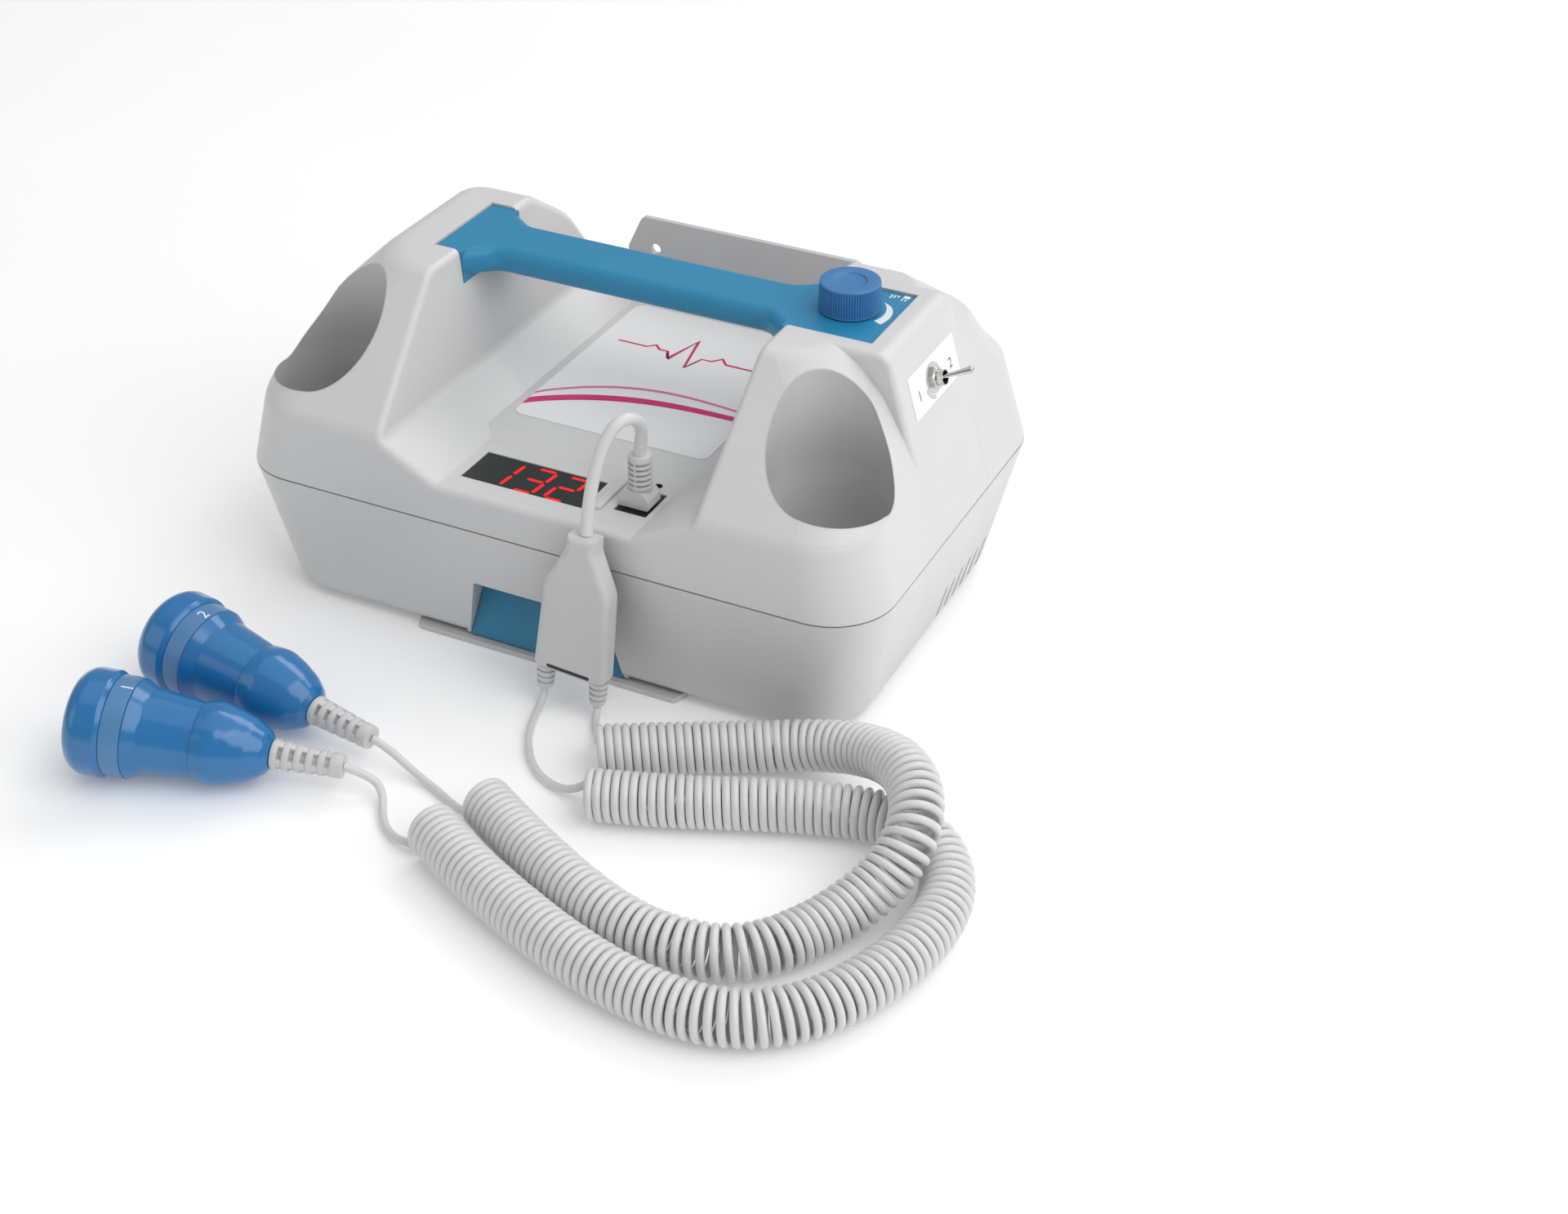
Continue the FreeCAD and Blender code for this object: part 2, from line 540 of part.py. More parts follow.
for i, (x, y) in enumerate(SCREWS):
    s = cyl(3.2, (x, y, BASE_Z + 0.6), (0, 0, 1), 2.3).fuse(cyl(1.6, (x, y, BASE_Z + 2.8), (0, 0, 1), 20))
    s = s.cut(box(x - 2.0, x + 2.0, y - 0.45, y + 0.45, 0, BASE_Z + 1.8)).cut(box(x - 0.45, x + 0.45, y - 2.0, y + 2.0, 0, BASE_Z + 1.8))
    save("screw_%s" % ("fl", "fr", "rl", "rr")[i], s)
bc = box(-50, 50, -30, 55, BASE_Z, BASE_Z + 1.1)
bc = bc.fuse(box(-45.8, 45.8, -25.8, 50.8, BASE_Z + 1.0, BASE_Z + 2.4))
bc = bc.cut(cyl(6, (0, -22, BASE_Z - 5.4), (0, 0, 1), 6))
save("battery_cover", bc)

# ================================================================ latch
lf = [(-90.0, 3.0, 0.6), (-83.6, LT - 0.45, 0.8), (-80.4, LT - 0.45, 0.4), (-84.6, 10.0, 2.0), (-84.3, 3.0, 0.3)]
latch = prism(lf, "yz", -45, 45)
g = -0.4
latch = latch.common(prism([(-rec(g, 0), 0, 0), (rec(g, 0), 0, 0), (rec(g, LT), LT, 0), (-rec(g, LT), LT, 0)], "xz", -110, -60))
latch = latch.fuse(cyl(1.5, (-36.2, PIV[0], PIV[1]), (1, 0, 0), 72.4))
save("latch", latch)

# ================================================================ handle
def bar_prof(z0, z1, r):
    return [(BAR_Y0, z0, r), (BAR_Y1, z0, r), (BAR_Y1, z1, r), (BAR_Y0, z1, r)]


FLARE = 11.0
plan = [(-PAD_IN, -PAD_Y, 0), (-PAD_IN + FLARE, BAR_Y0, 9), (PAD_IN - FLARE, BAR_Y0, 9), (PAD_IN, -PAD_Y, 0),
        (PAD_IN, PAD_Y, 0), (PAD_IN - FLARE, BAR_Y1, 9), (-PAD_IN + FLARE, BAR_Y1, 9), (-PAD_IN, PAD_Y, 0)]
bar = prism(plan, "xy", BAR_Z0, PAD_Z)
bar = try_fillet(bar, 4.6, lambda e: near(e, lambda x, y, z: abs(z - BAR_Z0) < 0.01 or abs(z - PAD_Z) < 0.01) and abs(e.valueAt((e.FirstParameter + e.LastParameter) / 2).x) < PAD_IN - 0.05, "bar edges")
hand = bar
for s, xe in ((-1, PADL_X), (1, PADR_X)):
    a, b = sorted((s * xe, s * PAD_IN))
    pad = box(a, b, -PAD_Y, PAD_Y, PAD_Z - PAD_T, PAD_Z)
    a, b = sorted((s * (CH_TOP + 1.9), s * PAD_IN))
    fl = box(a, b, -PAD_Y, PAD_Y, 123.3, PAD_Z)
    hand = hand.fuse(pad).fuse(fl)
hand = hand.cut(cyl(3.85, (KNOB_X, KNOB_Y, 120), (0, 0, 1), 40))
hand = hand.removeSplitter()
save("handle", hand)

# ================================================================ volume control
teeth = 52
pts = []
for i in range(teeth):
    a = 2 * math.pi * i / teeth
    da = 2 * math.pi / teeth
    for k, r in ((-0.30, KNOB_R), (0.12, KNOB_R), (0.26, KNOB_R - 0.45), (0.56, KNOB_R - 0.45)):
        pts.append((KNOB_X + r * math.cos(a + k * da), KNOB_Y + r * math.sin(a + k * da), 0))
knob = prism(pts, "xy", KNOB_Z0, KNOB_Z1 - 3.0)
knob = knob.fuse(lathe([(-0.2, 0, 0), (-0.2, KNOB_R - 0.5, 0), (0.25, KNOB_R - 0.15, 0.3), (2.5, KNOB_R - 0.3, 0.6), (3.0, KNOB_R - 1.0, 0.3), (3.0, 7.3, 0.4), (2.3, 6.6, 0.2), (2.3, 0, 0)],
                       (KNOB_X, KNOB_Y, KNOB_Z1 - 3.0), (0, 0, 1)))
knob = knob.cut(cyl(SHAFT_R + FIT, (KNOB_X, KNOB_Y, KNOB_Z0 - 1), (0, 0, 1), 8.9))
knob = knob.cut(cyl(6.2, (KNOB_X, KNOB_Y, KNOB_Z0 - 1), (0, 0, 1), 2.2))
save("volume_knob", knob)
pot = cyl(8.2, (KNOB_X, KNOB_Y, 121.0), (0, 0, 1), 9.8)
pot = pot.fuse(cyl(3.7, (KNOB_X, KNOB_Y, 130.0), (0, 0, 1), 7.9))
pot = pot.fuse(cyl(SHAFT_R, (KNOB_X, KNOB_Y, 137.0), (0, 0, 1), 8.2))
pot = pot.fuse(box(KNOB_X - 6, KNOB_X + 6, KNOB_Y - 13, KNOB_Y - 7, 122, 124))
save("potentiometer", pot)

# ================================================================ toggle switch
def tp(h):
    p = TB + FN * h
    return (p.x, p.y, p.z)


fy_ = (0, 1, 0)
BUSH = 5.5
body = framed([(-6.5, -4.5, 0.8), (6.5, -4.5, 0.8), (6.5, 4.5, 0.8), (-6.5, 4.5, 0.8)], tp(0), fy_, fu, fn, -12.5, -WALL - 0.1)
sw = body.fuse(cyl(BUSH_R, tp(-3.0), fn, 3.0 + BUSH)).cut(cyl(BUSH_IN, tp(BUSH - 4.6), fn, 10))
for i in (-4.2, 0, 4.2):
    sw = sw.fuse(framed([(i - 0.9, -0.4, 0), (i + 0.9, -0.4, 0), (i + 0.9, 0.4, 0), (i - 0.9, 0.4, 0)], tp(0), fy_, fu, fn, -16.5, -12.3))
save("toggle_switch", sw)
wash = cyl(6.2, tp(0.3), fn, 0.5).cut(cyl(BUSH_R + 0.1, tp(0), fn, 3))
save("toggle_washer", wash)
hx = [(4.62 * math.cos(math.radians(60 * i + 30)), 4.62 * math.sin(math.radians(60 * i + 30)), 0) for i in range(6)]
nut = framed(hx, tp(0), fy_, fu, fn, 0.82, 2.9).common(lathe([(0, 0, 0), (0, 4.3, 0), (0.35, 4.7, 0), (2.2, 4.7, 0), (2.9, 4.05, 0), (2.9, 0, 0)], tp(0), fn))
nut = nut.cut(cyl(BUSH_R + 0.03, tp(0), fn, 5))
save("toggle_nut", nut)
TILT = math.radians(28)
PV = TB + FN * (BUSH - 2.5)
LD = FN * math.cos(TILT) + V(0, 1, 0) * math.sin(TILT)
lev = lathe([(-1.55, 0, 0), (-1.1, 1.1, 0), (0.0, 1.55, 0), (1.1, 1.1, 0), (1.3, 0.85, 0.3), (4.2, 0.9, 1.0), (12.7, 1.5, 0.8), (13.5, 0.8, 0.4), (13.5, 0, 0)],
            (PV.x, PV.y, PV.z), (LD.x, LD.y, LD.z))
lev = lev.fuse(cyl(0.55, tuple(PV - FU * 2.25), fu, 4.5))                # pivot pin
save("toggle_lever", lev)
lab = framed([(-20.3, -9.0, 0.6), (23.4, -9.0, 0.6), (23.4, 8.6, 0.6), (-20.3, 8.6, 0.6)], tp(0), fy_, fu, fn, 0.02, 0.28)
lab = lab.cut(cyl(3.45, tp(-2), fn, 5))
save("switch_label", lab)

# ================================================================ deck label, display, sockets
label = prism([(-44.5, -34.5, 4), (44.5, -34.5, 4), (44.5, 74, 4), (-44.5, 74, 4)], "xy", DECK_Z + 0.02, DECK_Z + 0.32)
save("front_label", label)
lens = box(WIN[0] + 0.1, WIN[1] - 0.1, WIN[2] + 0.1, WIN[3] - 0.1, PANEL_Z - 2.3, PANEL_Z - 0.4)
lens = lens.fuse(box(WIN[0] - 2, WIN[1] + 2, WIN[2] - 2, WIN[3] + 2, PANEL_Z - 3.6, PANEL_Z - WALL - 0.05))
lens = lens.fuse(box(WIN[0] + 0.1, WIN[1] - 0.1, WIN[2] + 0.1, WIN[3] - 0.1, PANEL_Z - 3.0, PANEL_Z - 2.0))
save("display_window", lens)
disp = box(WIN[0] + 2, WIN[1] - 2, WIN[2] + 1, WIN[3] - 1, 61.8, PANEL_Z - 3.8).fuse(box(WIN[0] - 3, WIN[1] + 3, WIN[2] - 3, WIN[3] + 3, 60.2, 61.8))
save("display_module", disp)
sk = box(SOCK[0] + 0.1, SOCK[1] - 0.1, SOCK[2] + 0.1, SOCK[3] - 0.1, 61.5, PANEL_Z - 0.8)
PLUG_C = (34.1, -70.1)
sk = sk.cut(box(PLUG_C[0] - 5.05, PLUG_C[0] + 5.05, PLUG_C[1] - 3.55, PLUG_C[1] + 3.55, 64.5, 80))
save("probe_socket", sk)
jk = cyl(3.4, (JACK[0], JACK[1], 57.5), (0, 0, 1), PANEL_Z - WALL - 57.55).cut(cyl(1.8, (JACK[0], JACK[1], 59.0), (0, 0, 1), 30))
jk = jk.common(box(0, 80, JACK[1] - 3.2, 20, 50, 80))
save("earphone_jack", jk)
di = cyl(5.0, (-100, 71.5, 30), (0, 1, 0), 10.6).fuse(cyl(6.6, (-100, 80.0, 30), (0, 1, 0), 0.1).common(box(-120, -80, 60, 70, 0, 60)))
di = cyl(5.0, (-100, 70.5, 30), (0, 1, 0), 10.9).cut(cyl(3.2, (-100, 72.0, 30), (0, 1, 0), 12)).fuse(cyl(1.0, (-100, 71.0, 30), (0, 1, 0), 8.6))
save("charge_inlet", di)

# ================================================================ inside the housing
pcb = box(-76, 76, -56, 40, 50.2, 51.8)
for x, y, w, d, h in ((-30, -10, 14, 14, 2.2), (20, 5, 22, 10, 2.6), (50, -30, 10, 18, 6), (-60, 20, 16, 16, 7), (5, -40, 9, 9, 1.8)):
    pcb = pcb.fuse(box(x - w / 2, x + w / 2, y - d / 2, y + d / 2, 51.7, 51.8 + h))
save("main_board", pcb)
save("battery_pack", prism([(-44, -24, 3), (44, -24, 3), (44, 49, 3), (-44, 49, 3)], "xy", BASE_Z + 2.6, 44.0))
spk = Part.makeCone(9.0, 24.0, 11.0, V(103.5, 26, 32), V(1, 0, 0)).fuse(cyl(25.2, (114.5, 26, 32), (1, 0, 0), 3.0)).fuse(cyl(13.0, (94.5, 26, 32), (1, 0, 0), 9.5))
save("speaker", spk)

# ================================================================ wall bracket
base_pl = prism([(-BR_WIDE, BR_FRONT + 6.2, 2), (-BR_WIDE + 2.4, BR_FRONT, 2), (BR_WIDE - 2.4, BR_FRONT, 2), (BR_WIDE, BR_FRONT + 6.2, 2),
                 (BR_HALF, BR_REAR - 3, 0), (-BR_HALF, BR_REAR - 3, 0)], "xy", 0, BR_T)
ell = prism([(BR_REAR - 6, 0, 0), (BR_REAR, 0, 4.0), (BR_REAR, BR_TOP, 0), (BR_REAR - BR_T, BR_TOP, 0), (BR_REAR - BR_T, BR_T, 1.5), (BR_REAR - 6, BR_T, 0)], "yz", -BR_HALF, BR_HALF)
ell = ell.common(prism([(-BR_HALF, -5, 0), (BR_HALF, -5, 0), (BR_HALF, 93.4, 3), (52.6, BR_TOP, 3), (-52.6, BR_TOP, 3), (-BR_HALF, 93.4, 3)], "xz", 60, 120))
brk = base_pl.fuse(ell)
for s in (-1, 1):
    brk = brk.cut(cyl(BR_HOLE_R, (s * BR_HOLE_X, 80, BR_HOLE_Z), (0, 1, 0), 30))
brk = brk.removeSplitter()
save("wall_bracket", brk)

# ================================================================ plug and its relief
pb = prism([(27.6, 74.1, 0.8), (40.6, 74.1, 0.8), (40.6, 78.2, 1.2), (38.2, 81.3, 1.2), (30.0, 81.3, 1.2), (27.6, 78.2, 1.2)], "xz", -75.2, -65.0)
pb = pb.fuse(box(PLUG_C[0] - 5.0, PLUG_C[0] + 5.0, PLUG_C[1] - 3.5, PLUG_C[1] + 3.5, 66.0, 74.4))
save("plug_body", pb)
rel = cyl(3.9, (34.9, -70.0, 81.3), (0, 0, 1), 14.7)
for i in range(5):
    rel = rel.fuse(cyl(4.9, (34.9, -70.0, 81.9 + 2.35 * i), (0, 0, 1), 1.35))
rel = rel.fuse(Part.makeCone(4.9, 4.4, 2.6, V(34.9, -70.0, 93.4), V(0, 0, 1)))
save("plug_relief", rel)
TRUNK = [(34.9, -70, 96), (35.8, -70.5, 102), (37.5, -72.5, 108.6), (38.4, -76.8, 114.9), (37.4, -82.3, 118.6), (35, -87.2, 118.0),
         (32.7, -91.2, 113.2), (31.3, -95, 106.2), (30.2, -98.5, 97), (29.7, -101.5, 87.5), (29.7, -104, 77.3)]
save("trunk_cord", route(TRUNK, TRUNK_D, "trunk"))

# ================================================================ splitter
ROLL, LEAN = math.radians(-3.69), math.radians(-7.0)
SX = V(math.cos(ROLL), 0, math.sin(ROLL))
SD = V(math.sin(ROLL) * math.cos(LEAN), math.sin(LEAN), -math.cos(ROLL) * math.cos(LEAN))
SN = SD.cross(SX)
SO = V(29.7, -104.0, 77.3)
sp = framed([(-5.9, 0, 0), (5.9, 0, 0), (6.2, 6.0, 8), (14.0, 22.5, 14), (15.4, 60.9, 3), (-16.0, 60.9, 3), (-14.4, 22.5, 14), (-6.2, 6.0, 8)],
            tuple(SO), tuple(SX), tuple(SD), tuple(SN), -5.2, 5.2)
sp = try_fillet(sp, 2.6, lambda e: near(e, lambda x, y, z: abs(abs((V(x, y, z) - SO).dot(SN)) - 5.2) < 0.02), "splitter rim")
slot = framed([(-9.9, 57.5, 0.6), (9.6, 57.5, 0.6), (8.9, 59.1, 0.6), (-9.2, 59.1, 0.6)], tuple(SO), tuple(SX), tuple(SD), tuple(SN), 4.4, 5.25)
if SN.y > 0:
    slot = framed([(-9.9, 57.5, 0.6), (9.6, 57.5, 0.6), (8.9, 59.1, 0.6), (-9.2, 59.1, 0.6)], tuple(SO), tuple(SX), tuple(SD), tuple(SN), -5.25, -4.4)
save("splitter_case", sp.cut(slot))
save("splitter_inlay", slot.common(sp))
REL_L = 10.2
ends = {}
for nm, u in (("a", 11.2), ("b", -12.1)):
    o = SO + SX * u + SD * 60.6
    r = lathe([(0, 0, 0), (0, 3.95, 0), (REL_L, 3.2, 0.6), (REL_L, 0, 0)], tuple(o), tuple(SD))
    for i in range(3):
        s0 = 2.0 + 2.6 * i
        r = r.cut(lathe([(s0, 3.1 - 0.1 * i, 0), (s0, 7, 0), (s0 + 0.75, 7, 0), (s0 + 0.75, 3.1 - 0.1 * i, 0)], tuple(o), tuple(SD)))
    save("splitter_relief_" + nm, r)
    e = o + SD * REL_L
    ends[nm] = e
    print("  relief end", nm, [round(c, 2) for c in e])

# ================================================================ probe leads
LEAD_A = [tuple(ends["a"]), (36.8, -113.5, 3.5), (37.7, -116.7, 2.0), (40.0, -121.3, 2.0), (43.6, -126.6, 2.6), (47.1, -131.8, 4.2), (50.4, -136.9, 6.25)]
LEAD_B = [tuple(ends["b"]), (13.2, -113.8, 4.3), (13.5, -117.4, 2.2), (14.9, -123.3, 1.75), (17.4, -132.0, 1.75), (21.5, -140.8, 1.75), (27.5, -149.3, 1.75),
          (35.5, -156.4, 1.75), (44.6, -160.3, 2.0), (53.0, -160.9, 3.4), (61.1, -160.4, 6.25)]
COIL_A = [(53.8, -143, 10.25), (78.5, -129.4, 10.25), (103.5, -116.3, 10.25), (124.2, -107.6, 12.3), (143.5, -108.6, 18.5), (160.5, -116.8, 26.0),
          (173.5, -128.5, 31.6), (182.5, -141, 32.6), (188, -156.5, 29.5), (185.2, -170, 20.5), (177.0, -183.0, 12.6), (169, -197.5, 10.25), (159.5, -212.5, 10.25),
          (147, -222.0, 10.25), (127, -226, 10.25), (105, -222.6, 10.25), (84.2, -214.8, 10.25), (63, -204.6, 10.25), (46, -195.6, 10.25), (30.8, -187.1, 10.25)]
COIL_B = [(63.4, -167.5, 10.25), (82, -161.5, 10.25), (101.2, -154.2, 10.25), (120, -146, 10.25), (139, -138.6, 10.25), (156.5, -133.4, 10.25), (173, -132, 10.25),
          (188, -137.2, 10.25), (199, -150, 10.25), (204.6, -166.5, 10.25), (204.4, -184.5, 10.25), (200, -204, 10.25), (191, -224.5, 10.25),
          (177.5, -240.5, 10.25), (160, -249.5, 10.25), (141, -251.7, 10.25), (119, -249, 10.25), (98, -243.3, 10.25), (77.5, -235.8, 10.25),
          (56.3, -226.8, 10.25), (38, -217.8, 10.25), (21.3, -208.4, 10.25)]
EA, EB = (-26.0, -174.7, 10.85), (-25.5, -193.8, 10.85)
TAIL_A = [EA, (-18.5, -174.9, 8.6), (-9.9, -176.2, 4.4), (-0.8, -178.6, 2.0), (8.5, -182.0, 1.75), (15.6, -185.6, 1.9), (22.0, -188.9, 3.2), (28.1, -191.9, 5.25)]
TAIL_B = [EB, (-18.4, -191.7, 8.5), (-13.0, -190.6, 5.2), (-8.6, -194.4, 3.0), (-5.2, -200.0, 1.9), (-1.0, -205.6, 1.8), (4.6, -210.0, 1.8), (11.2, -213.0, 2.9), (18.1, -214.1, 5.75)]
save("lead_a", route(LEAD_A, LEAD_D, "lead_a"))
save("lead_b", route(LEAD_B, LEAD_D, "lead_b"))
save("coil_a", route(COIL_A, COIL_D, "coil_a"))
save("coil_b", route(COIL_B, COIL_D, "coil_b"))
save("tail_a", route(TAIL_A, LEAD_D, "tail_a"))
save("tail_b", route(TAIL_B, LEAD_D, "tail_b"))

# ================================================================ probes
PROBE_L = 105.0
PROBE_DIP = -0.105
for nm, end, head in (("a", EA, -5.6), ("b", EB, 17.1)):
    h, c = math.radians(head), math.sqrt(1 - PROBE_DIP ** 2)
    d = V(c * math.cos(h), c * math.sin(h), PROBE_DIP)
    o = V(*end) - d * PROBE_L
    cap = lathe([(2.5, 0, 0), (2.5, 17.2, 6), (7.5, 20.5, 6), (15.9, 20.6, 1.8), (17.6, 19.4, 0.3), (17.6, 0, 0)], tuple(o), tuple(d))
    band = lathe([(17.65, 17.9, 0), (17.65, 19.25, 0.3), (25.4, 19.25, 0.3), (25.4, 17.9, 0)], tuple(o), tuple(d))
    bod = lathe([(17.65, 0, 0), (17.65, 17.85, 0), (25.45, 17.85, 0), (25.45, 19.25, 0.4), (30.8, 16.5, 3), (50.3, 14.4, 0.2), (50.7, 15.15, 0.4),
                 (56.8, 16.15, 12), (64.0, 14.3, 25), (70.5, 11.9, 12), (75.6, 8.6, 5), (77.6, 6.0, 0.6), (77.6, 0, 0)], tuple(o), tuple(d))
    rf = lathe([(77.6, 0, 0), (77.6, 4.2, 0), (105.0, 3.3, 0), (105.0, 0, 0)], tuple(o), tuple(d))
    for i in range(5):
        s0 = 77.9 + 4.5 * i
        r0 = 5.9 - 0.22 * i
        rf = rf.fuse(lathe([(s0, 0, 0), (s0, r0, 0.3), (s0 + 2.6, r0 - 0.1, 0.3), (s0 + 2.6, 0, 0)], tuple(o), tuple(d)))
    rf = rf.fuse(lathe([(100.4, 0, 0), (100.4, 4.9, 0.5), (105.0, 4.7, 0.7), (105.0, 0, 0)], tuple(o), tuple(d)))
    save("probe_%s_cap" % nm, cap)
    save("probe_%s_band" % nm, band)
    save("probe_%s_body" % nm, bod)
    save("probe_%s_relief" % nm, rf)
    print("  probe", nm, "origin", [round(c, 2) for c in o], "dir", [round(c, 4) for c in d])
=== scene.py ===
import math
import random

import bmesh
import bpy
from mathutils import Matrix, Vector, noise


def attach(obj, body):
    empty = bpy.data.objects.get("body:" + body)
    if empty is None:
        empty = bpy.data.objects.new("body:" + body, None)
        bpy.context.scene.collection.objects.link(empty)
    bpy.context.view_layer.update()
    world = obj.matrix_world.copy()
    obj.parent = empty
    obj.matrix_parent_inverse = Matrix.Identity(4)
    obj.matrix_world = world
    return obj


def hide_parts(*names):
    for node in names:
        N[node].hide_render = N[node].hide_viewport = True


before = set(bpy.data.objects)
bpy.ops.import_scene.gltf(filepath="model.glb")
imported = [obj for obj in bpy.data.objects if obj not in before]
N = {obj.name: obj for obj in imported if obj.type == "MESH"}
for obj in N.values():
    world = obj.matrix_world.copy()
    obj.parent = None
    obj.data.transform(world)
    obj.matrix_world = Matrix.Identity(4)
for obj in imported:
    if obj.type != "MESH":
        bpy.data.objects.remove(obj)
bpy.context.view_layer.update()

MM = 0.001
scene = bpy.context.scene


def mm(p):
    return Vector((p[0] * MM, p[1] * MM, p[2] * MM))


# ------------------------------------------------------------------ camera
def add_camera():
    yaw, pitch, roll = math.radians(25.295), math.radians(34.247), math.radians(0.517)
    back = Vector((math.sin(yaw) * math.cos(pitch), -math.cos(yaw) * math.cos(pitch), math.sin(pitch)))
    f = -back
    r = f.cross(Vector((0, 0, 1))).normalized()
    u = r.cross(f)
    c, s = math.cos(roll), math.sin(roll)
    r2, u2 = r * c + u * s, u * c - r * s
    cam = bpy.data.cameras.new("camera")
    cam.sensor_width = 36.0
    cam.lens = 2838.534 / 1920 * 36.0
    cam.clip_start, cam.clip_end = 0.05, 20
    ob = bpy.data.objects.new("camera", cam)
    m = Matrix((
        (r2.x, u2.x, back.x, 0.411512),
        (r2.y, u2.y, back.y, -0.736993),
        (r2.z, u2.z, back.z, 0.545909),
        (0, 0, 0, 1)))
    ob.matrix_world = m
    scene.collection.objects.link(ob)
    scene.camera = ob
    return ob


add_camera()


# ------------------------------------------------------------------ helpers
def link(ob, body=None, mat=None):
    if ob.name not in scene.collection.objects:
        scene.collection.objects.link(ob)
    if mat is not None:
        ob.data.materials.clear()
        ob.data.materials.append(mat)
    if body:
        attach(ob, body)
    return ob


def mesh_object(name, verts, faces, smooth=True):
    me = bpy.data.meshes.new(name)
    me.from_pydata([tuple(v) for v in verts], [], faces)
    me.update()
    if smooth:
        for p in me.polygons:
            p.use_smooth = True
    return bpy.data.objects.new(name, me)


def from_bmesh(name, bm, smooth=True):
    me = bpy.data.meshes.new(name)
    bm.to_mesh(me)
    bm.free()
    if smooth:
        for p in me.polygons:
            p.use_smooth = True
    return bpy.data.objects.new(name, me)


# ------------------------------------------------------------------ cord routes, as the solids lie
TRUNK_D, LEAD_D, HELIX_R = 5.0, 3.2, 8.6
REL_A, REL_B = (36.35, -112.63, 6.45), (13.10, -112.63, 7.95)
EA, EB = (-26.0, -174.7, 10.85), (-25.5, -193.8, 10.85)
TRUNK = [(34.9, -70, 96), (35.8, -70.5, 102), (37.5, -72.5, 108.6), (38.4, -76.8, 114.9), (37.4, -82.3, 118.6), (35, -87.2, 118.0),
         (32.7, -91.2, 113.2), (31.3, -95, 106.2), (30.2, -98.5, 97), (29.7, -101.5, 87.5), (29.7, -104, 77.3)]
LEAD_A = [REL_A, (36.8, -113.5, 3.5), (37.7, -116.7, 2.0), (40.0, -121.3, 2.0), (43.6, -126.6, 2.6), (47.1, -131.8, 4.2), (50.4, -136.9, 6.25)]
LEAD_B = [REL_B, (13.2, -113.8, 4.3), (13.5, -117.4, 2.2), (14.9, -123.3, 1.75), (17.4, -132.0, 1.75), (21.5, -140.8, 1.75), (27.5, -149.3, 1.75),
          (35.5, -156.4, 1.75), (44.6, -160.3, 2.0), (53.0, -160.9, 3.4), (61.1, -160.4, 6.25)]
COIL_A = [(53.8, -143, 10.25), (78.5, -129.4, 10.25), (103.5, -116.3, 10.25), (124.2, -107.6, 12.3), (143.5, -108.6, 18.5), (160.5, -116.8, 26.0),
          (173.5, -128.5, 31.6), (182.5, -141, 32.6), (188, -156.5, 29.5), (185.2, -170, 20.5), (177.0, -183.0, 12.6), (169, -197.5, 10.25), (159.5, -212.5, 10.25),
          (147, -222.0, 10.25), (127, -226, 10.25), (105, -222.6, 10.25), (84.2, -214.8, 10.25), (63, -204.6, 10.25), (46, -195.6, 10.25), (30.8, -187.1, 10.25)]
COIL_B = [(63.4, -167.5, 10.25), (82, -161.5, 10.25), (101.2, -154.2, 10.25), (120, -146, 10.25), (139, -138.6, 10.25), (156.5, -133.4, 10.25), (173, -132, 10.25),
          (188, -137.2, 10.25), (199, -150, 10.25), (204.6, -166.5, 10.25), (204.4, -184.5, 10.25), (200, -204, 10.25), (191, -224.5, 10.25),
          (177.5, -240.5, 10.25), (160, -249.5, 10.25), (141, -251.7, 10.25), (119, -249, 10.25), (98, -243.3, 10.25), (77.5, -235.8, 10.25),
          (56.3, -226.8, 10.25), (38, -217.8, 10.25), (21.3, -208.4, 10.25)]
TAIL_A = [EA, (-18.5, -174.9, 8.6), (-9.9, -176.2, 4.4), (-0.8, -178.6, 2.0), (8.5, -182.0, 1.75), (15.6, -185.6, 1.9), (22.0, -188.9, 3.2), (28.1, -191.9, 5.25)]
TAIL_B = [EB, (-18.4, -191.7, 8.5), (-13.0, -190.6, 5.2), (-8.6, -194.4, 3.0), (-5.2, -200.0, 1.9), (-1.0, -205.6, 1.8), (4.6, -210.0, 1.8), (11.2, -213.0, 2.9), (18.1, -214.1, 5.75)]


def nurbs(name, points, radius=0.0, resolution=12, ring=4):
    """One open spline of order 3 with these control points, in metres."""
    cu = bpy.data.curves.new(name, "CURVE")
    cu.dimensions = "3D"
    sp = cu.splines.new("NURBS")
    sp.points.add(len(points) - 1)
    for i, p in enumerate(points):
        sp.points[i].co = (p[0], p[1], p[2], 1.0)
    sp.order_u = 3
    sp.use_endpoint_u = True
    cu.resolution_u = resolution
    sp.resolution_u = resolution
    cu.bevel_depth = radius
    cu.bevel_resolution = ring
    cu.use_fill_caps = radius > 0
    ob = bpy.data.objects.new(name, cu)
    return ob


def spline_points(points, resolution=12):
    """Points along the spline that has these control points."""
    ob = nurbs("route_tmp", points, 0.0, resolution)
    scene.collection.objects.link(ob)
    bpy.context.view_layer.update()
    me = bpy.data.meshes.new_from_object(ob)
    out = [v.co.copy() for v in me.vertices]
    bpy.data.meshes.remove(me)
    cu = ob.data
    bpy.data.objects.remove(ob)
    bpy.data.curves.remove(cu)
    return out


def along(line):
    s = [0.0]
    for a, b in zip(line, line[1:]):
        s.append(s[-1] + (b - a).length)
    return s


def length_of(line):
    return along(line)[-1]


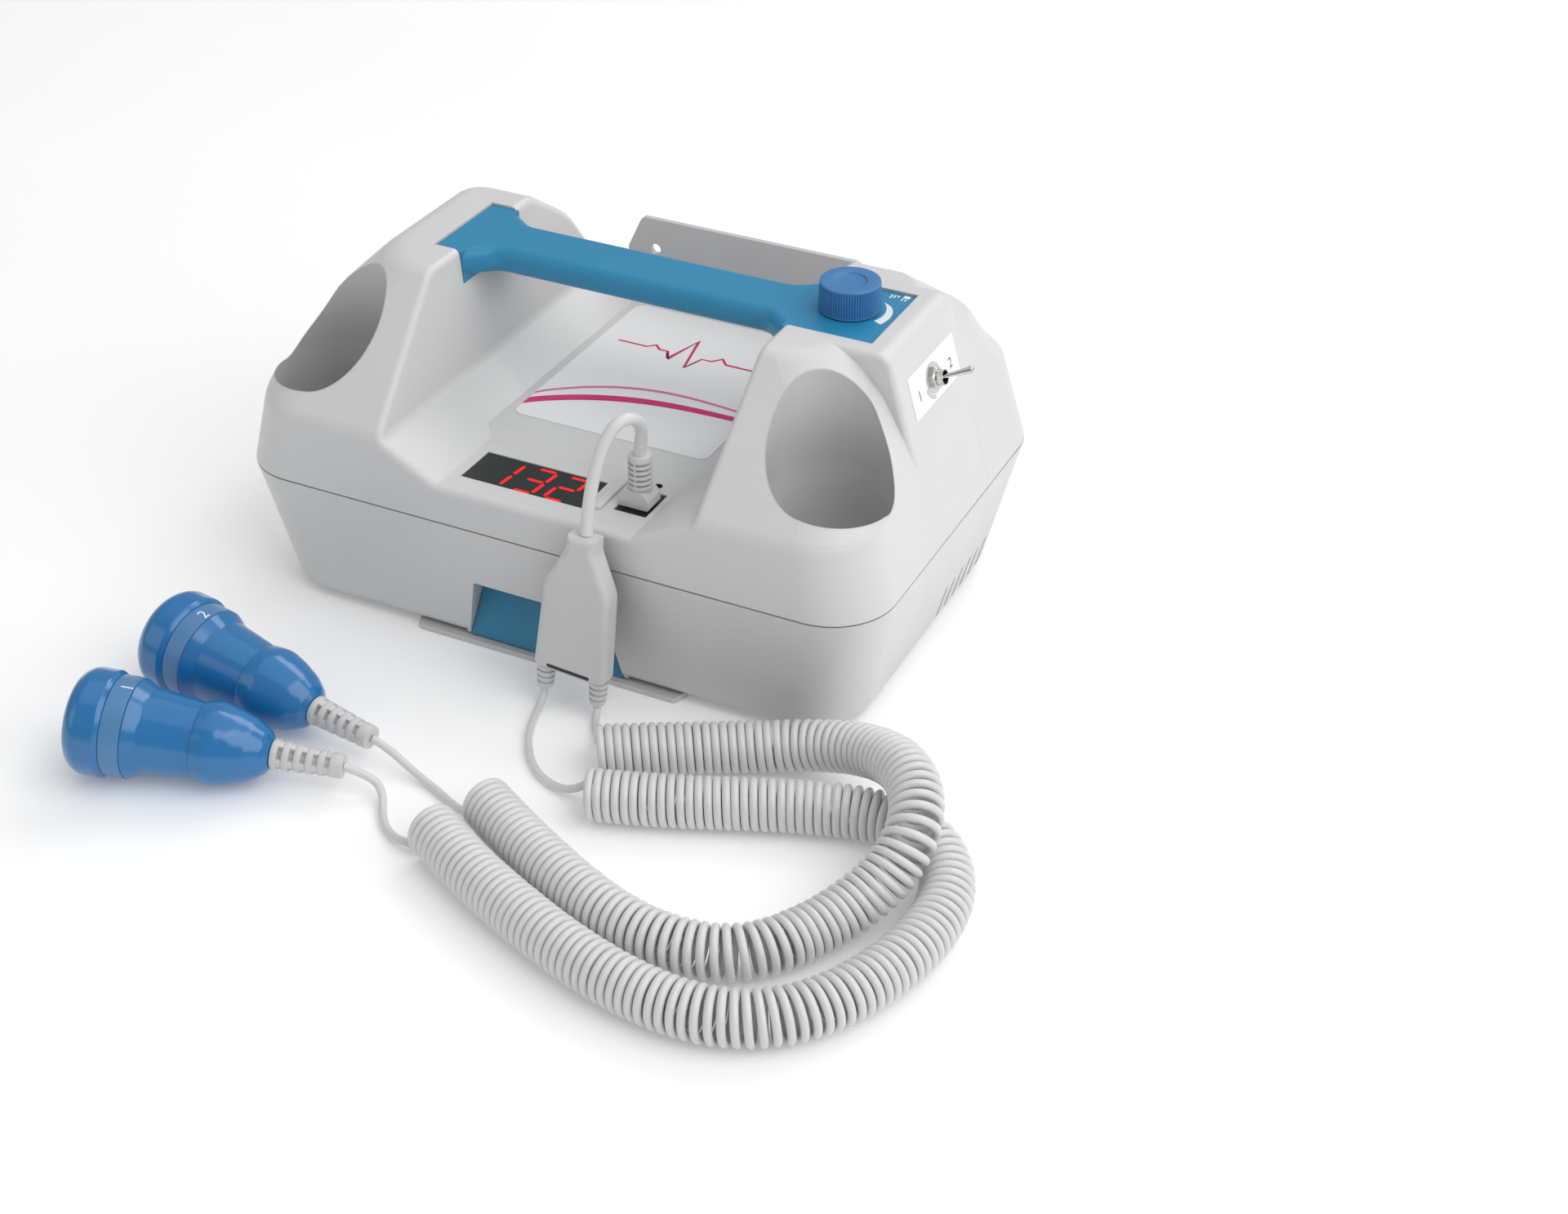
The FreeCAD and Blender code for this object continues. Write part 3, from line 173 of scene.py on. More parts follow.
def helix(route, start, end, per_turn=14, seed=1):
    """Points of a coil wound round a centreline, from the point start to the point end.
    The turns touch on the inside of each bend and open on its outside."""
    rnd = random.Random(seed)
    line = spline_points([mm(p) for p in route], 16)
    s = along(line)
    total = s[-1]
    n = len(line)
    tang = []
    for i in range(n):
        a, b = line[max(i - 1, 0)], line[min(i + 1, n - 1)]
        tang.append((b - a).normalized())
    # frames carried along without twist
    t0 = tang[0]
    ref = (start - line[0])
    ref -= t0 * ref.dot(t0)
    u = ref.normalized()
    us = [u]
    for i in range(1, n):
        q = tang[i - 1].rotation_difference(tang[i])
        u = (q @ u)
        u = (u - tang[i] * u.dot(tang[i])).normalized()
        us.append(u)
    # pitch from the bend
    curv = []
    for i in range(n):
        a, b = max(i - 3, 0), min(i + 3, n - 1)
        ds = s[b] - s[a]
        curv.append(tang[a].angle(tang[b]) / ds if ds > 0 else 0.0)
    wob = [rnd.uniform(-1, 1) for _ in range(64)]

    def pitch(i):
        x = s[i] / total * 40
        k = int(x) % 63
        w = wob[k] * (1 - x % 1) + wob[k + 1] * (x % 1)
        edge = min(s[i], total - s[i]) / 0.012
        k2 = 1.0
        return (3.30 * MM / (1.0 - min(0.30, 8.3 * MM * curv[i]))) * (1 + 0.018 * w) * k2

    phase = [0.0]
    for i in range(1, n):
        phase.append(phase[-1] + 2 * math.pi * (s[i] - s[i - 1]) / (0.5 * (pitch(i) + pitch(i - 1))))
    # finish at the angle of the far end
    te, ue = tang[-1], us[-1]
    ve = te.cross(ue)
    off = end - line[-1]
    want = math.atan2(off.dot(ve), off.dot(ue)) % (2 * math.pi)
    turns = round((phase[-1] - want) / (2 * math.pi))
    scale = (turns * 2 * math.pi + want) / phase[-1]
    phase = [p * scale for p in phase]
    k = 1.0 / math.cos(math.pi / per_turn) ** 0.5
    out, j, count = [], 0, int(phase[-1] / (2 * math.pi / per_turn))
    for m in range(count + 1):
        ph = min(m * 2 * math.pi / per_turn, phase[-1])
        while j < n - 2 and phase[j + 1] < ph:
            j += 1
        f = (ph - phase[j]) / max(phase[j + 1] - phase[j], 1e-9)
        c = line[j].lerp(line[j + 1], f)
        t = tang[j].lerp(tang[j + 1], f).normalized()
        u = us[j].lerp(us[j + 1], f)
        u = (u - t * u.dot(t)).normalized()
        v = t.cross(u)
        r = HELIX_R * MM * k
        w = wob[(int(ph / (2 * math.pi)) * 7) % 64]
        jig = 1 + 0.006 * w
        c = c + t * (0.10 * MM * w)
        out.append(c + u * (r * jig * math.cos(ph)) + v * (r * jig * math.sin(ph)))
    return out, turns


def coiled_lead(name, lead, coil, tail, seed):
    a = [mm(p) for p in lead]
    b = [mm(p) for p in tail][::-1]
    turns, count = helix(coil, a[-1], b[0], seed=seed)
    pts = a[:-1] + turns[1:-1] + b[1:]
    ob = nurbs(name, pts, LEAD_D / 2 * MM, 3, 3)
    line = spline_points(pts, 3)
    return ob, length_of(line), count


cord_a, len_a, turns_a = coiled_lead("lead_cord_a", LEAD_A, COIL_A, TAIL_A, 3)
cord_b, len_b, turns_b = coiled_lead("lead_cord_b", LEAD_B, COIL_B, TAIL_B, 8)
trunk = nurbs("trunk_line", [mm(p) for p in TRUNK], TRUNK_D / 2 * MM, 12, 6)
len_t = length_of(spline_points([mm(p) for p in TRUNK]))
print("cords: a %.3f m %d turns, b %.3f m %d turns, trunk %.4f m" % (len_a, turns_a, len_b, turns_b, len_t))


# ------------------------------------------------------------------ materials
def new_mat(name):
    m = bpy.data.materials.new(name)
    m.use_nodes = True
    nt = m.node_tree
    nt.nodes.clear()
    out = nt.nodes.new("ShaderNodeOutputMaterial")
    b = nt.nodes.new("ShaderNodeBsdfPrincipled")
    nt.links.new(b.outputs[0], out.inputs[0])
    return m, nt, b


def node(nt, kind, **kw):
    n = nt.nodes.new(kind)
    for k, v in kw.items():
        setattr(n, k, v)
    return n


def tex_coord(nt):
    return node(nt, "ShaderNodeTexCoord").outputs["Object"]


def noise_tex(nt, vec, scale, detail=3.0, rough=0.55):
    t = node(nt, "ShaderNodeTexNoise")
    t.inputs["Scale"].default_value = scale
    t.inputs["Detail"].default_value = detail
    t.inputs["Roughness"].default_value = rough
    nt.links.new(vec, t.inputs["Vector"])
    return t.outputs["Fac"]


def ramp(nt, fac, stops):
    r = node(nt, "ShaderNodeValToRGB")
    els = r.color_ramp.elements
    while len(els) > len(stops):
        els.remove(els[-1])
    for i, (p, c) in enumerate(stops):
        e = els[i] if i < len(els) else els.new(p)
        e.position = p
        e.color = (*c, 1)
    nt.links.new(fac, r.inputs["Fac"])
    return r.outputs["Color"]


def value_map(nt, fac, lo, hi):
    m = node(nt, "ShaderNodeMapRange")
    m.inputs["From Min"].default_value = 0.3
    m.inputs["From Max"].default_value = 0.7
    m.inputs["To Min"].default_value = lo
    m.inputs["To Max"].default_value = hi
    nt.links.new(fac, m.inputs["Value"])
    return m.outputs["Result"]


def bump(nt, height, strength, dist, normal=None):
    b = node(nt, "ShaderNodeBump")
    b.inputs["Strength"].default_value = strength
    b.inputs["Distance"].default_value = dist
    nt.links.new(height, b.inputs["Height"])
    if normal is not None:
        nt.links.new(normal, b.inputs["Normal"])
    return b.outputs["Normal"]


def bevel(nt, radius, samples=6):
    b = node(nt, "ShaderNodeBevel")
    b.samples = samples
    b.inputs["Radius"].default_value = radius
    return b.outputs["Normal"]


def math_node(nt, op, a, b=None):
    m = node(nt, "ShaderNodeMath", operation=op)
    for i, q in enumerate((a, b)):
        if q is None:
            continue
        if isinstance(q, float):
            m.inputs[i].default_value = q
        else:
            nt.links.new(q, m.inputs[i])
    return m.outputs[0]


def holder_shade(nt, v):
    """Painted shade inside the two probe holders: a little darker towards the top, and a little lighter lower down, as
    painted light.
    """
    sep = node(nt, "ShaderNodeSeparateXYZ")
    nt.links.new(v, sep.inputs[0])
    dx = math_node(nt, "SUBTRACT", math_node(nt, "ABSOLUTE", sep.outputs["X"]), 0.1109)
    dy = math_node(nt, "ADD", sep.outputs["Y"], 0.0617)
    r = math_node(nt, "SQRT", math_node(nt, "ADD", math_node(nt, "MULTIPLY", dx, dx), math_node(nt, "MULTIPLY", dy, dy)))
    r = math_node(nt, "ADD", r, math_node(nt, "LESS_THAN", sep.outputs["Z"], 0.036))
    m = node(nt, "ShaderNodeMapRange")
    m.inputs["From Min"].default_value = 0.02420
    m.inputs["From Max"].default_value = 0.02475
    m.inputs["To Max"].default_value = 1.0
    nt.links.new(r, m.inputs["Value"])
    deep = node(nt, "ShaderNodeMapRange")
    deep.inputs["From Min"].default_value = 0.062
    deep.inputs["From Max"].default_value = 0.106
    deep.inputs["To Min"].default_value = 1.22
    deep.inputs["To Max"].default_value = 0.80
    nt.links.new(sep.outputs["Z"], deep.inputs["Value"])
    nt.links.new(deep.outputs["Result"], m.inputs["To Min"])
    return m.outputs["Result"]


def plastic(name, col, rough=(0.38, 0.46), vary=0.02, grain=0.35, grain_scale=2600.0, soft=None, coat=0.0, spec=0.5, sss=0.0, hollow_shade=None):
    """Moulded plastic: faint mottling, fine grain, soft edges, and if asked, painted shade that darkens the colour in
    hollows and inside the probe holders.
    """
    m, nt, b = new_mat(name)
    v = tex_coord(nt)
    big = noise_tex(nt, v, 28.0, 4.0)
    lo = tuple(max(0.0, c * (1 - vary)) for c in col)
    hi = tuple(min(1.0, c * (1 + vary)) for c in col)
    colour = ramp(nt, big, [(0.3, lo), (0.7, hi)])
    if hollow_shade:
        # painted shade: ambient occlusion darkens the base colour in hollows, and the holders' painted shade is
        # multiplied in
        ao = node(nt, "ShaderNodeAmbientOcclusion")
        ao.samples = 8
        ao.inputs["Distance"].default_value = hollow_shade[0]
        shade = ramp(nt, ao.outputs["AO"], [(p, (q, q, q)) for p, q in hollow_shade[1]])
        mix = node(nt, "ShaderNodeMix", data_type="RGBA", blend_type="MULTIPLY")
        mix.inputs["Factor"].default_value = 1.0
        nt.links.new(colour, mix.inputs["A"])
        nt.links.new(math_node(nt, "MULTIPLY", shade, holder_shade(nt, v)), mix.inputs["B"])
        colour = mix.outputs["Result"]
    nt.links.new(colour, b.inputs["Base Color"])
    mid = noise_tex(nt, v, 190.0, 3.0)
    nt.links.new(value_map(nt, mid, rough[0], rough[1]), b.inputs["Roughness"])
    fine = noise_tex(nt, v, grain_scale, 2.0)
    nrm = bevel(nt, soft) if soft else None
    nt.links.new(bump(nt, fine, grain, 0.00004, nrm), b.inputs["Normal"])
    b.inputs["Specular IOR Level"].default_value = spec
    if coat:
        b.inputs["Coat Weight"].default_value = coat
        b.inputs["Coat Roughness"].default_value = 0.12
    if sss:
        b.inputs["Subsurface Weight"].default_value = sss
        b.inputs["Subsurface Radius"].default_value = (0.004, 0.004, 0.004)
    return m


M = {}
# the housing's colour carries painted shade in its hollows and inside the probe holders
M["housing"] = plastic("housing_plastic", (0.655, 0.655, 0.65), rough=(0.36, 0.46), vary=0.012, grain=0.30, grain_scale=2400, soft=0.0004,
                       hollow_shade=(0.06, [(0.05, 0.80), (0.30, 0.82), (0.6, 0.93), (0.9, 1.0)]))
M["handle"] = plastic("handle_plastic", (0.018, 0.235, 0.43), rough=(0.36, 0.44), vary=0.03, grain=0.30, grain_scale=2600, soft=0.0006)
M["knob"] = plastic("knob_plastic", (0.045, 0.19, 0.44), rough=(0.32, 0.42), vary=0.03, grain=0.25, soft=0.0002)
M["latch"] = plastic("latch_plastic", (0.022, 0.205, 0.36), rough=(0.36, 0.44), vary=0.03, grain=0.25, soft=0.0004)
M["probe"] = plastic("probe_plastic", (0.014, 0.168, 0.42), rough=(0.16, 0.22), vary=0.04, grain=0.05, coat=0.35, soft=0.0005)
M["band"] = plastic("probe_band_plastic", (0.085, 0.235, 0.46), rough=(0.30, 0.38), vary=0.04, grain=0.12, soft=0.0002)
M["cable"] = plastic("cable_pvc", (0.68, 0.68, 0.68), rough=(0.27, 0.31), vary=0.02, grain=0.06, grain_scale=1800)
M["mould"] = plastic("moulded_pvc", (0.60, 0.60, 0.60), rough=(0.32, 0.36), vary=0.012, grain=0.12, grain_scale=2000, soft=0.0004)
M["bracket"] = plastic("bracket_paint", (0.57, 0.57, 0.57), rough=(0.34, 0.44), vary=0.015, grain=0.5, grain_scale=1100, soft=0.0004)
M["black"] = plastic("black_plastic", (0.020, 0.020, 0.021), rough=(0.35, 0.5), vary=0.1, grain=0.3, soft=0.0002)
M["rubber"] = plastic("foot_rubber", (0.03, 0.03, 0.03), rough=(0.6, 0.75), vary=0.15, grain=0.5, soft=0.0004)
M["label"] = plastic("label_film", (0.83, 0.83, 0.83), rough=(0.28, 0.34), vary=0.008, grain=0.12, grain_scale=3200)
M["side_label"] = plastic("side_label_film", (0.92, 0.92, 0.92), rough=(0.32, 0.38), vary=0.008, grain=0.10, grain_scale=3200)
M["lens"] = plastic("display_lens", (0.036, 0.038, 0.036), rough=(0.29, 0.31), vary=0.03, grain=0.01, spec=0.2)
M["print_white"] = plastic("white_print", (0.85, 0.85, 0.86), rough=(0.35, 0.45), vary=0.01, grain=0.15)
M["print_dark"] = plastic("dark_print", (0.02, 0.02, 0.022), rough=(0.35, 0.45), vary=0.05, grain=0.15)
M["print_magenta"] = plastic("magenta_print", (0.62, 0.008, 0.13), rough=(0.28, 0.34), vary=0.02, grain=0.12)
M["print_pink"] = plastic("pink_print", (0.66, 0.16, 0.36), rough=(0.28, 0.34), vary=0.02, grain=0.12)


def metal(name, col, rough):
    m, nt, b = new_mat(name)
    v = tex_coord(nt)
    b.inputs["Metallic"].default_value = 1.0
    n1 = noise_tex(nt, v, 900.0, 3.0)
    nt.links.new(ramp(nt, n1, [(0.3, tuple(c * 0.94 for c in col)), (0.7, col)]), b.inputs["Base Color"])
    nt.links.new(value_map(nt, noise_tex(nt, v, 400.0, 4.0), rough[0], rough[1]), b.inputs["Roughness"])
    nt.links.new(bump(nt, noise_tex(nt, v, 3000.0, 2.0), 0.10, 0.00003, bevel(nt, 0.00018)), b.inputs["Normal"])
    return m


M["nickel"] = metal("nickel_plate", (0.60, 0.60, 0.59), (0.09, 0.15))
M["steel"] = metal("zinc_steel", (0.55, 0.55, 0.54), (0.28, 0.42))
M["circuit"] = plastic("circuit_laminate", (0.02, 0.11, 0.05), rough=(0.3, 0.4), vary=0.15, grain=0.3)
M["battery"] = plastic("battery_wrap", (0.05, 0.07, 0.2), rough=(0.3, 0.4), vary=0.05, grain=0.2)


def glow(name, col, strength):
    m, nt, b = new_mat(name)
    v = tex_coord(nt)
    n1 = noise_tex(nt, v, 2500.0, 2.0)
    nt.links.new(ramp(nt, n1, [(0.3, tuple(c * 0.9 for c in col)), (0.7, col)]), b.inputs["Base Color"])
    nt.links.new(ramp(nt, n1, [(0.3, tuple(c * 0.92 for c in col)), (0.7, col)]), b.inputs["Emission Color"])
    b.inputs["Emission Strength"].default_value = strength
    b.inputs["Roughness"].default_value = 0.3
    return m


M["led"] = glow("led_red", (0.82, 0.006, 0.005), 0.62)

NODE_MAT = {
    "upper_shell": "housing", "lower_shell": "housing", "battery_cover": "housing",
    "foot_fl": "rubber", "foot_fr": "rubber", "foot_rl": "rubber", "foot_rr": "rubber",
    "screw_fl": "steel", "screw_fr": "steel", "screw_rl": "steel", "screw_rr": "steel",
    "latch": "latch", "handle": "handle", "volume_knob": "knob", "potentiometer": "steel",
    "toggle_switch": "nickel", "toggle_washer": "nickel", "toggle_nut": "nickel", "toggle_lever": "nickel",
    "switch_label": "side_label", "front_label": "label", "display_window": "lens", "display_module": "black",
    "probe_socket": "black", "earphone_jack": "black", "charge_inlet": "black", "main_board": "circuit",
    "battery_pack": "battery", "speaker": "black", "wall_bracket": "bracket", "plug_body": "mould", "plug_relief": "mould",
    "splitter_case": "mould", "splitter_inlay": "black", "splitter_relief_a": "mould", "splitter_relief_b": "mould",
    "probe_a_cap": "probe", "probe_a_band": "band", "probe_a_body": "probe", "probe_a_relief": "mould",
    "probe_b_cap": "probe", "probe_b_band": "band", "probe_b_body": "probe", "probe_b_relief": "mould",
}
for n, k in NODE_MAT.items():
    ob = N[n]
    ob.data.materials.clear()
    ob.data.materials.append(M[k])

# ------------------------------------------------------------------ fine pieces
def glyph(ch, height, depth, slant=0.0):
    """Vertices and faces of one character, centred, in millimetres."""
    cu = bpy.data.curves.new("glyph_tmp", "FONT")
    cu.body = ch
    cu.size = 1.0
    cu.extrude = 0.5
    cu.shear = slant
    cu.resolution_u = 6
    ob = bpy.data.objects.new("glyph_tmp", cu)
    scene.collection.objects.link(ob)
    bpy.context.view_layer.update()
    me = bpy.data.meshes.new_from_object(ob)
    bm = bmesh.new()
    bm.from_mesh(me)
    bmesh.ops.remove_doubles(bm, verts=bm.verts, dist=1e-5)
    vs = [v.co.copy() for v in bm.verts]
    fs = [[v.index for v in f.verts] for f in bm.faces]
    bm.free()
    bpy.data.meshes.remove(me)
    bpy.data.objects.remove(ob)
    bpy.data.curves.remove(cu)
    x0, x1 = min(v.x for v in vs), max(v.x for v in vs)
    y0, y1 = min(v.y for v in vs), max(v.y for v in vs)
    k = height / (y1 - y0)
    return [Vector(((v.x - (x0 + x1) / 2) * k, (v.y - (y0 + y1) / 2) * k, v.z * depth)) for v in vs], fs


def place_glyph(name, ch, height, depth, put, mat, body, slant=0.0):
    vs, fs = glyph(ch, height, depth, slant)
    return link(mesh_object(name, [put(v) for v in vs], fs, False), body, mat)


def plates(name, outlines, z0, z1, mat, body, put=None):
    """Thin closed plates with these outlines (mm), lying between z0 and z1."""
    put = put or (lambda x, y, z: mm((x, y, z)))
    vs, fs = [], []
    for pts in outlines:
        b, n = len(vs), len(pts)
        area = sum(pts[i][0] * pts[(i + 1) % n][1] - pts[(i + 1) % n][0] * pts[i][1] for i in range(n))
        if area < 0:
            pts = pts[::-1]
        vs += [put(x, y, z0) for x, y in pts] + [put(x, y, z1) for x, y in pts]
        fs.append([b + i for i in range(n)][::-1])
        fs.append([b + n + i for i in range(n)])
        fs += [[b + i, b + (i + 1) % n, b + n + (i + 1) % n, b + n + i] for i in range(n)]
    return link(mesh_object(name, vs, fs, False), body, mat)


def strips(name, rows, z0, z1, mat, body, put=None):
    """A thin closed strip between two edges given as [(xa, ya, xb, yb), ...]."""
    put = put or (lambda x, y, z: mm((x, y, z)))
    vs, fs = [], []
    for xa, ya, xb, yb in rows:
        vs += [put(xa, ya, z0), put(xb, yb, z0), put(xb, yb, z1), put(xa, ya, z1)]
    n = len(rows)
    for i in range(n - 1):
        for k in range(4):
            a, b = i * 4 + k, i * 4 + (k + 1) % 4
            fs.append([a, b, b + 4, a + 4])
    fs.append([3, 2, 1, 0])
    fs.append([4 * n - 4, 4 * n - 3, 4 * n - 2, 4 * n - 1])
    ob = mesh_object(name, vs, fs, False)
    bm = bmesh.new()
    bm.from_mesh(ob.data)
    bmesh.ops.recalc_face_normals(bm, faces=bm.faces)
    bm.to_mesh(ob.data)
    bm.free()
    return link(ob, body, mat)


def turned(name, o, d, profile, mat, body, depth=None, steps=72, ref=None):
    """Surface of revolution about o + d*s. profile is [(s, r), ...]; depth(s, angle) is taken off the radius."""
    d = Vector(d).normalized()
    ref = Vector(ref or (0, 0, 1))
    e1 = (ref - d * ref.dot(d)).normalized()
    e2 = d.cross(e1)
    vs, fs = [], []
    for si, (sv, r) in enumerate(profile):
        for k in range(steps):
            a = 2 * math.pi * k / steps
            q = r - (depth(sv, a, si) if depth else 0.0)
            vs.append(mm(Vector(o) + d * sv + e1 * (q * math.cos(a)) + e2 * (q * math.sin(a))))
    n = len(profile)
    for i in range(n - 1):
        for k in range(steps):
            k2 = (k + 1) % steps
            fs.append([i * steps + k, i * steps + k2, (i + 1) * steps + k2, (i + 1) * steps + k])
    vs.append(mm(Vector(o) + d * profile[0][0]))
    vs.append(mm(Vector(o) + d * profile[-1][0]))
    c0, c1 = len(vs) - 2, len(vs) - 1
    for k in range(steps):
        k2 = (k + 1) % steps
        fs.append([c0, k2, k])
        fs.append([c1, (n - 1) * steps + k, (n - 1) * steps + k2])
    ob = mesh_object(name, vs, fs, True)
    bm = bmesh.new()
    bm.from_mesh(ob.data)
    bmesh.ops.recalc_face_normals(bm, faces=bm.faces)
    for e in bm.edges:
        if len(e.link_faces) == 2 and e.calc_face_angle(0) > math.radians(38):
            e.smooth = False
    bm.to_mesh(ob.data)
    bm.free()
    return link(ob, body, mat)


def box_mesh(name, lo, hi, r, mat, body, segments=3):
    bm = bmesh.new()
    bmesh.ops.create_cube(bm, size=1.0)
    for v in bm.verts:
        v.co = mm([lo[i] + (hi[i] - lo[i]) * (v.co[i] + 0.5) for i in range(3)])
    bmesh.ops.bevel(bm, geom=bm.edges[:], offset=r * MM, segments=segments, affect="EDGES", profile=0.5)
    return link(from_bmesh(name, bm), body, mat)


# three figures on the readout
LENS_Z = 73.40


def segments_of(figure):
    return {"1": "bc", "2": "abged", "3": "abgcd"}[figure]


def readout():
    w, h, t, sl = 8.7, 8.55, 1.55, 0.113
    ends = {"a": ((-w, h), (0, h)), "b": ((0, h), (0, 0)), "c": ((0, 0), (0, -h - 0.5)), "d": ((-w, -h - 0.5), (0, -h - 0.5)),
            "e": ((-w, 0), (-w, -h - 0.5)), "f": ((-w, h), (-w, 0)), "g": ((-w, 0), (0, 0))}
    out = []
    for figure, xr in (("1", -21.0), ("3", -6.45), ("2", 7.75)):
        for sname in segments_of(figure):
            (u0, v0), (u1, v1) = ends[sname]
            du, dv = u1 - u0, v1 - v0
            length = math.hypot(du, dv)
            du, dv = du / length, dv / length
            gap = 0.62
            a0, a1 = gap, length - gap
            k = t / 2
            pts = [(a0, 0), (a0 + k, k), (a1 - k, k), (a1, 0), (a1 - k, -k), (a0 + k, -k)]
            poly = []
            for p, q in pts:
                u, v = u0 + du * p - dv * q, v0 + dv * p + du * q
                poly.append((xr + u + sl * v, max(-73.2 + v, -83.22)))
            out.append(poly)
    return out


plates("readout_figures", readout(), LENS_Z + 0.01, LENS_Z + 0.05, M["led"], "monitor")

# artwork on the front label: two bands and a pulse line
LAB_Z = 76.62


def band_rows(y_of, t_of):
    rows = []
    for i in range(73):
        x = -44.45 + 88.9 * i / 72
        y, t = y_of(x), t_of(x)
        rows.append((x, y - t / 2, x, y + t / 2))
    return rows


def arc_y(x, y0, rise, peak):
    k = (x + 44.5) / 89.0
    return y0 + rise * k + peak * math.sin(math.pi * k ** 0.8)


strips("label_band_wide", band_rows(lambda x: arc_y(x, -24.0, 24.0, 9.0), lambda x: 5.6 - 2.2 * (x + 44.5) / 89), LAB_Z + 0.01, LAB_Z + 0.05,
       M["print_magenta"], "monitor")
strips("label_band_thin", band_rows(lambda x: arc_y(x, -16.5, 22.0, 12.5), lambda x: 2.2 - 0.8 * (x + 44.5) / 89), LAB_Z + 0.01, LAB_Z + 0.05,
       M["print_pink"], "monitor")


def poly_rows(path, w):
    """Rows of a strip of width w along a polyline."""
    rows = []
    for i, (x, y) in enumerate(path):
        xa, ya = path[max(i - 1, 0)]
        xb, yb = path[min(i + 1, len(path) - 1)]
        dx, dy = xb - xa, yb - ya
        ln = math.hypot(dx, dy) or 1.0
        nx, ny = -dy / ln, dx / ln
        k = w / 2
        if 0 < i < len(path) - 1:
            ux, uy = x - xa, y - ya
            m = abs(ux * nx + uy * ny) / (math.hypot(ux, uy) or 1)
            k = min(w / 2 / max(math.sqrt(max(1 - m * m, 0.12)), 0.35), w * 1.1)
        rows.append((x + nx * k, y + ny * k, x - nx * k, y - ny * k))
    return rows


PULSE = [(-36, 40), (-22, 40), (-19, 43), (-16, 40), (-12, 40), (-9, 34), (-4, 54), (1, 30), (4.5, 40), (9, 40), (12.5, 44), (16, 40), (34, 40)]
strips("label_pulse_line", poly_rows(PULSE, 1.1), LAB_Z + 0.01, LAB_Z + 0.05, M["print_magenta"], "monitor")

# side label figures
FN = Vector((1, 0, 0.287)).normalized()
FU = Vector((-FN.z, 0, FN.x))
TB = Vector((142.5 - 0.287 * (116.8 - 58.3), -0.2, 116.8))


def on_facet(y, u, h):
    return mm(TB + Vector((0, y, 0)) + FU * u + FN * h)


for nm, ch, y, u in (("side_figure_low", "1", -13.6, -1.4), ("side_figure_high", "2", 16.6, -1.2)):
    place_glyph(nm, ch, 4.2, 0.05, lambda v, y=y, u=u: on_facet(y + v.x, u + v.y, 0.31 + v.z), M["print_dark"], "monitor")


def arc_rows(r, w, a0, a1, n=24):
    rows = []
    for i in range(n + 1):
        a = math.radians(a0 + (a1 - a0) * i / n)
        rows.append(((r - w / 2) * math.cos(a), (r - w / 2) * math.sin(a), (r + w / 2) * math.cos(a), (r + w / 2) * math.sin(a)))
    return rows


for i, r in enumerate((7.1, 7.9)):
    strips("side_arc_%d" % i, arc_rows(r, 0.22, 196, 262), 0.29, 0.33, M["print_dark"], "monitor", put=lambda x, y, z: on_facet(x, y, z))

# white volume crescent and two marks on the handle's right end
PAD_TOP = 137.2
KX, KY = 89.2, 2.1


def crescent():
    rows = []
    for i in range(29):
        k = i / 28
        a = math.radians(-24.0 + 69.6 * k)
        ro = 17.5 - 1.0 * k - 2.1 * k ** 5
        ri = 13.8 + 0.62 * k
        ro = max(ro, ri + 0.02)
        rows.append((KX + ri * math.cos(a), KY + ri * math.sin(a), KX + ro * math.cos(a), KY + ro * math.sin(a)))
    return rows


strips("volume_crescent", crescent(), PAD_TOP + 0.01, PAD_TOP + 0.06, M["print_white"], "monitor")
plates("volume_marks", [
    [(99.2, 17.0), (99.8, 17.0), (99.8, 20.4), (99.2, 20.4)], [(100.6, 17.8), (101.2, 17.8), (101.2, 20.4), (100.6, 20.4)], [(102.0, 18.8), (102.6, 18.8), (102.6, 20.4), (102.0, 20.4)],
    [(104.2, 19.2), (106.8, 19.2), (106.8, 21.4), (104.2, 21.4)], [(104.2, 16.9), (104.8, 16.9), (104.8, 18.6), (104.2, 18.6)], [(105.6, 16.9), (106.2, 16.9), (106.2, 18.6), (105.6, 18.6)]],
    PAD_TOP + 0.01, PAD_TOP + 0.06, M["print_white"], "monitor")

# raised rib beside the readout
box_mesh("panel_rib", (18.6, -81.6, 72.6), (23.0, -58.8, 75.0), 0.45, M["housing"], "monitor")


# fine knurl of the volume knob
def knob_profile():
    z0, z1 = 137.6, 149.38
    bore = [(145.5, 0.5), (145.5, 3.05), (138.8, 3.05), (138.8, 6.2), (z0, 6.2)]
    return bore + [(z0, 11.9), (z0 + 0.15, 12.15), (z0 + 0.3, 12.22), (z0 + 0.7, 12.22), (z1 - 0.95, 12.0), (z1 - 0.78, 11.98), (z1 - 0.6, 11.96), (z1 - 0.5, 11.94),
            (z1 - 0.28, 11.89), (z1 - 0.12, 11.78), (z1 - 0.03, 11.62), (z1, 11.42), (z1, 6.80), (z1 - 0.05, 6.62), (z1 - 0.2, 6.48), (z1 - 0.42, 6.36), (z1 - 0.58, 6.15), (z1 - 0.64, 5.8), (z1 - 0.68, 2.0)]


def knurl(z, a, i):
    if not 8 <= i <= 10:
        return 0.0
    f = (1.0, 1.0, 0.45)[i - 8]
    return 0.50 * f * (0.5 - 0.5 * math.cos(a * 72)) ** 1.3


knob = turned("knob_skin", (KX, KY, 0), (0, 0, 1), knob_profile(), M["knob"], "volume_knob", depth=knurl, steps=72 * 10, ref=(1, 0, 0))
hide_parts("volume_knob")
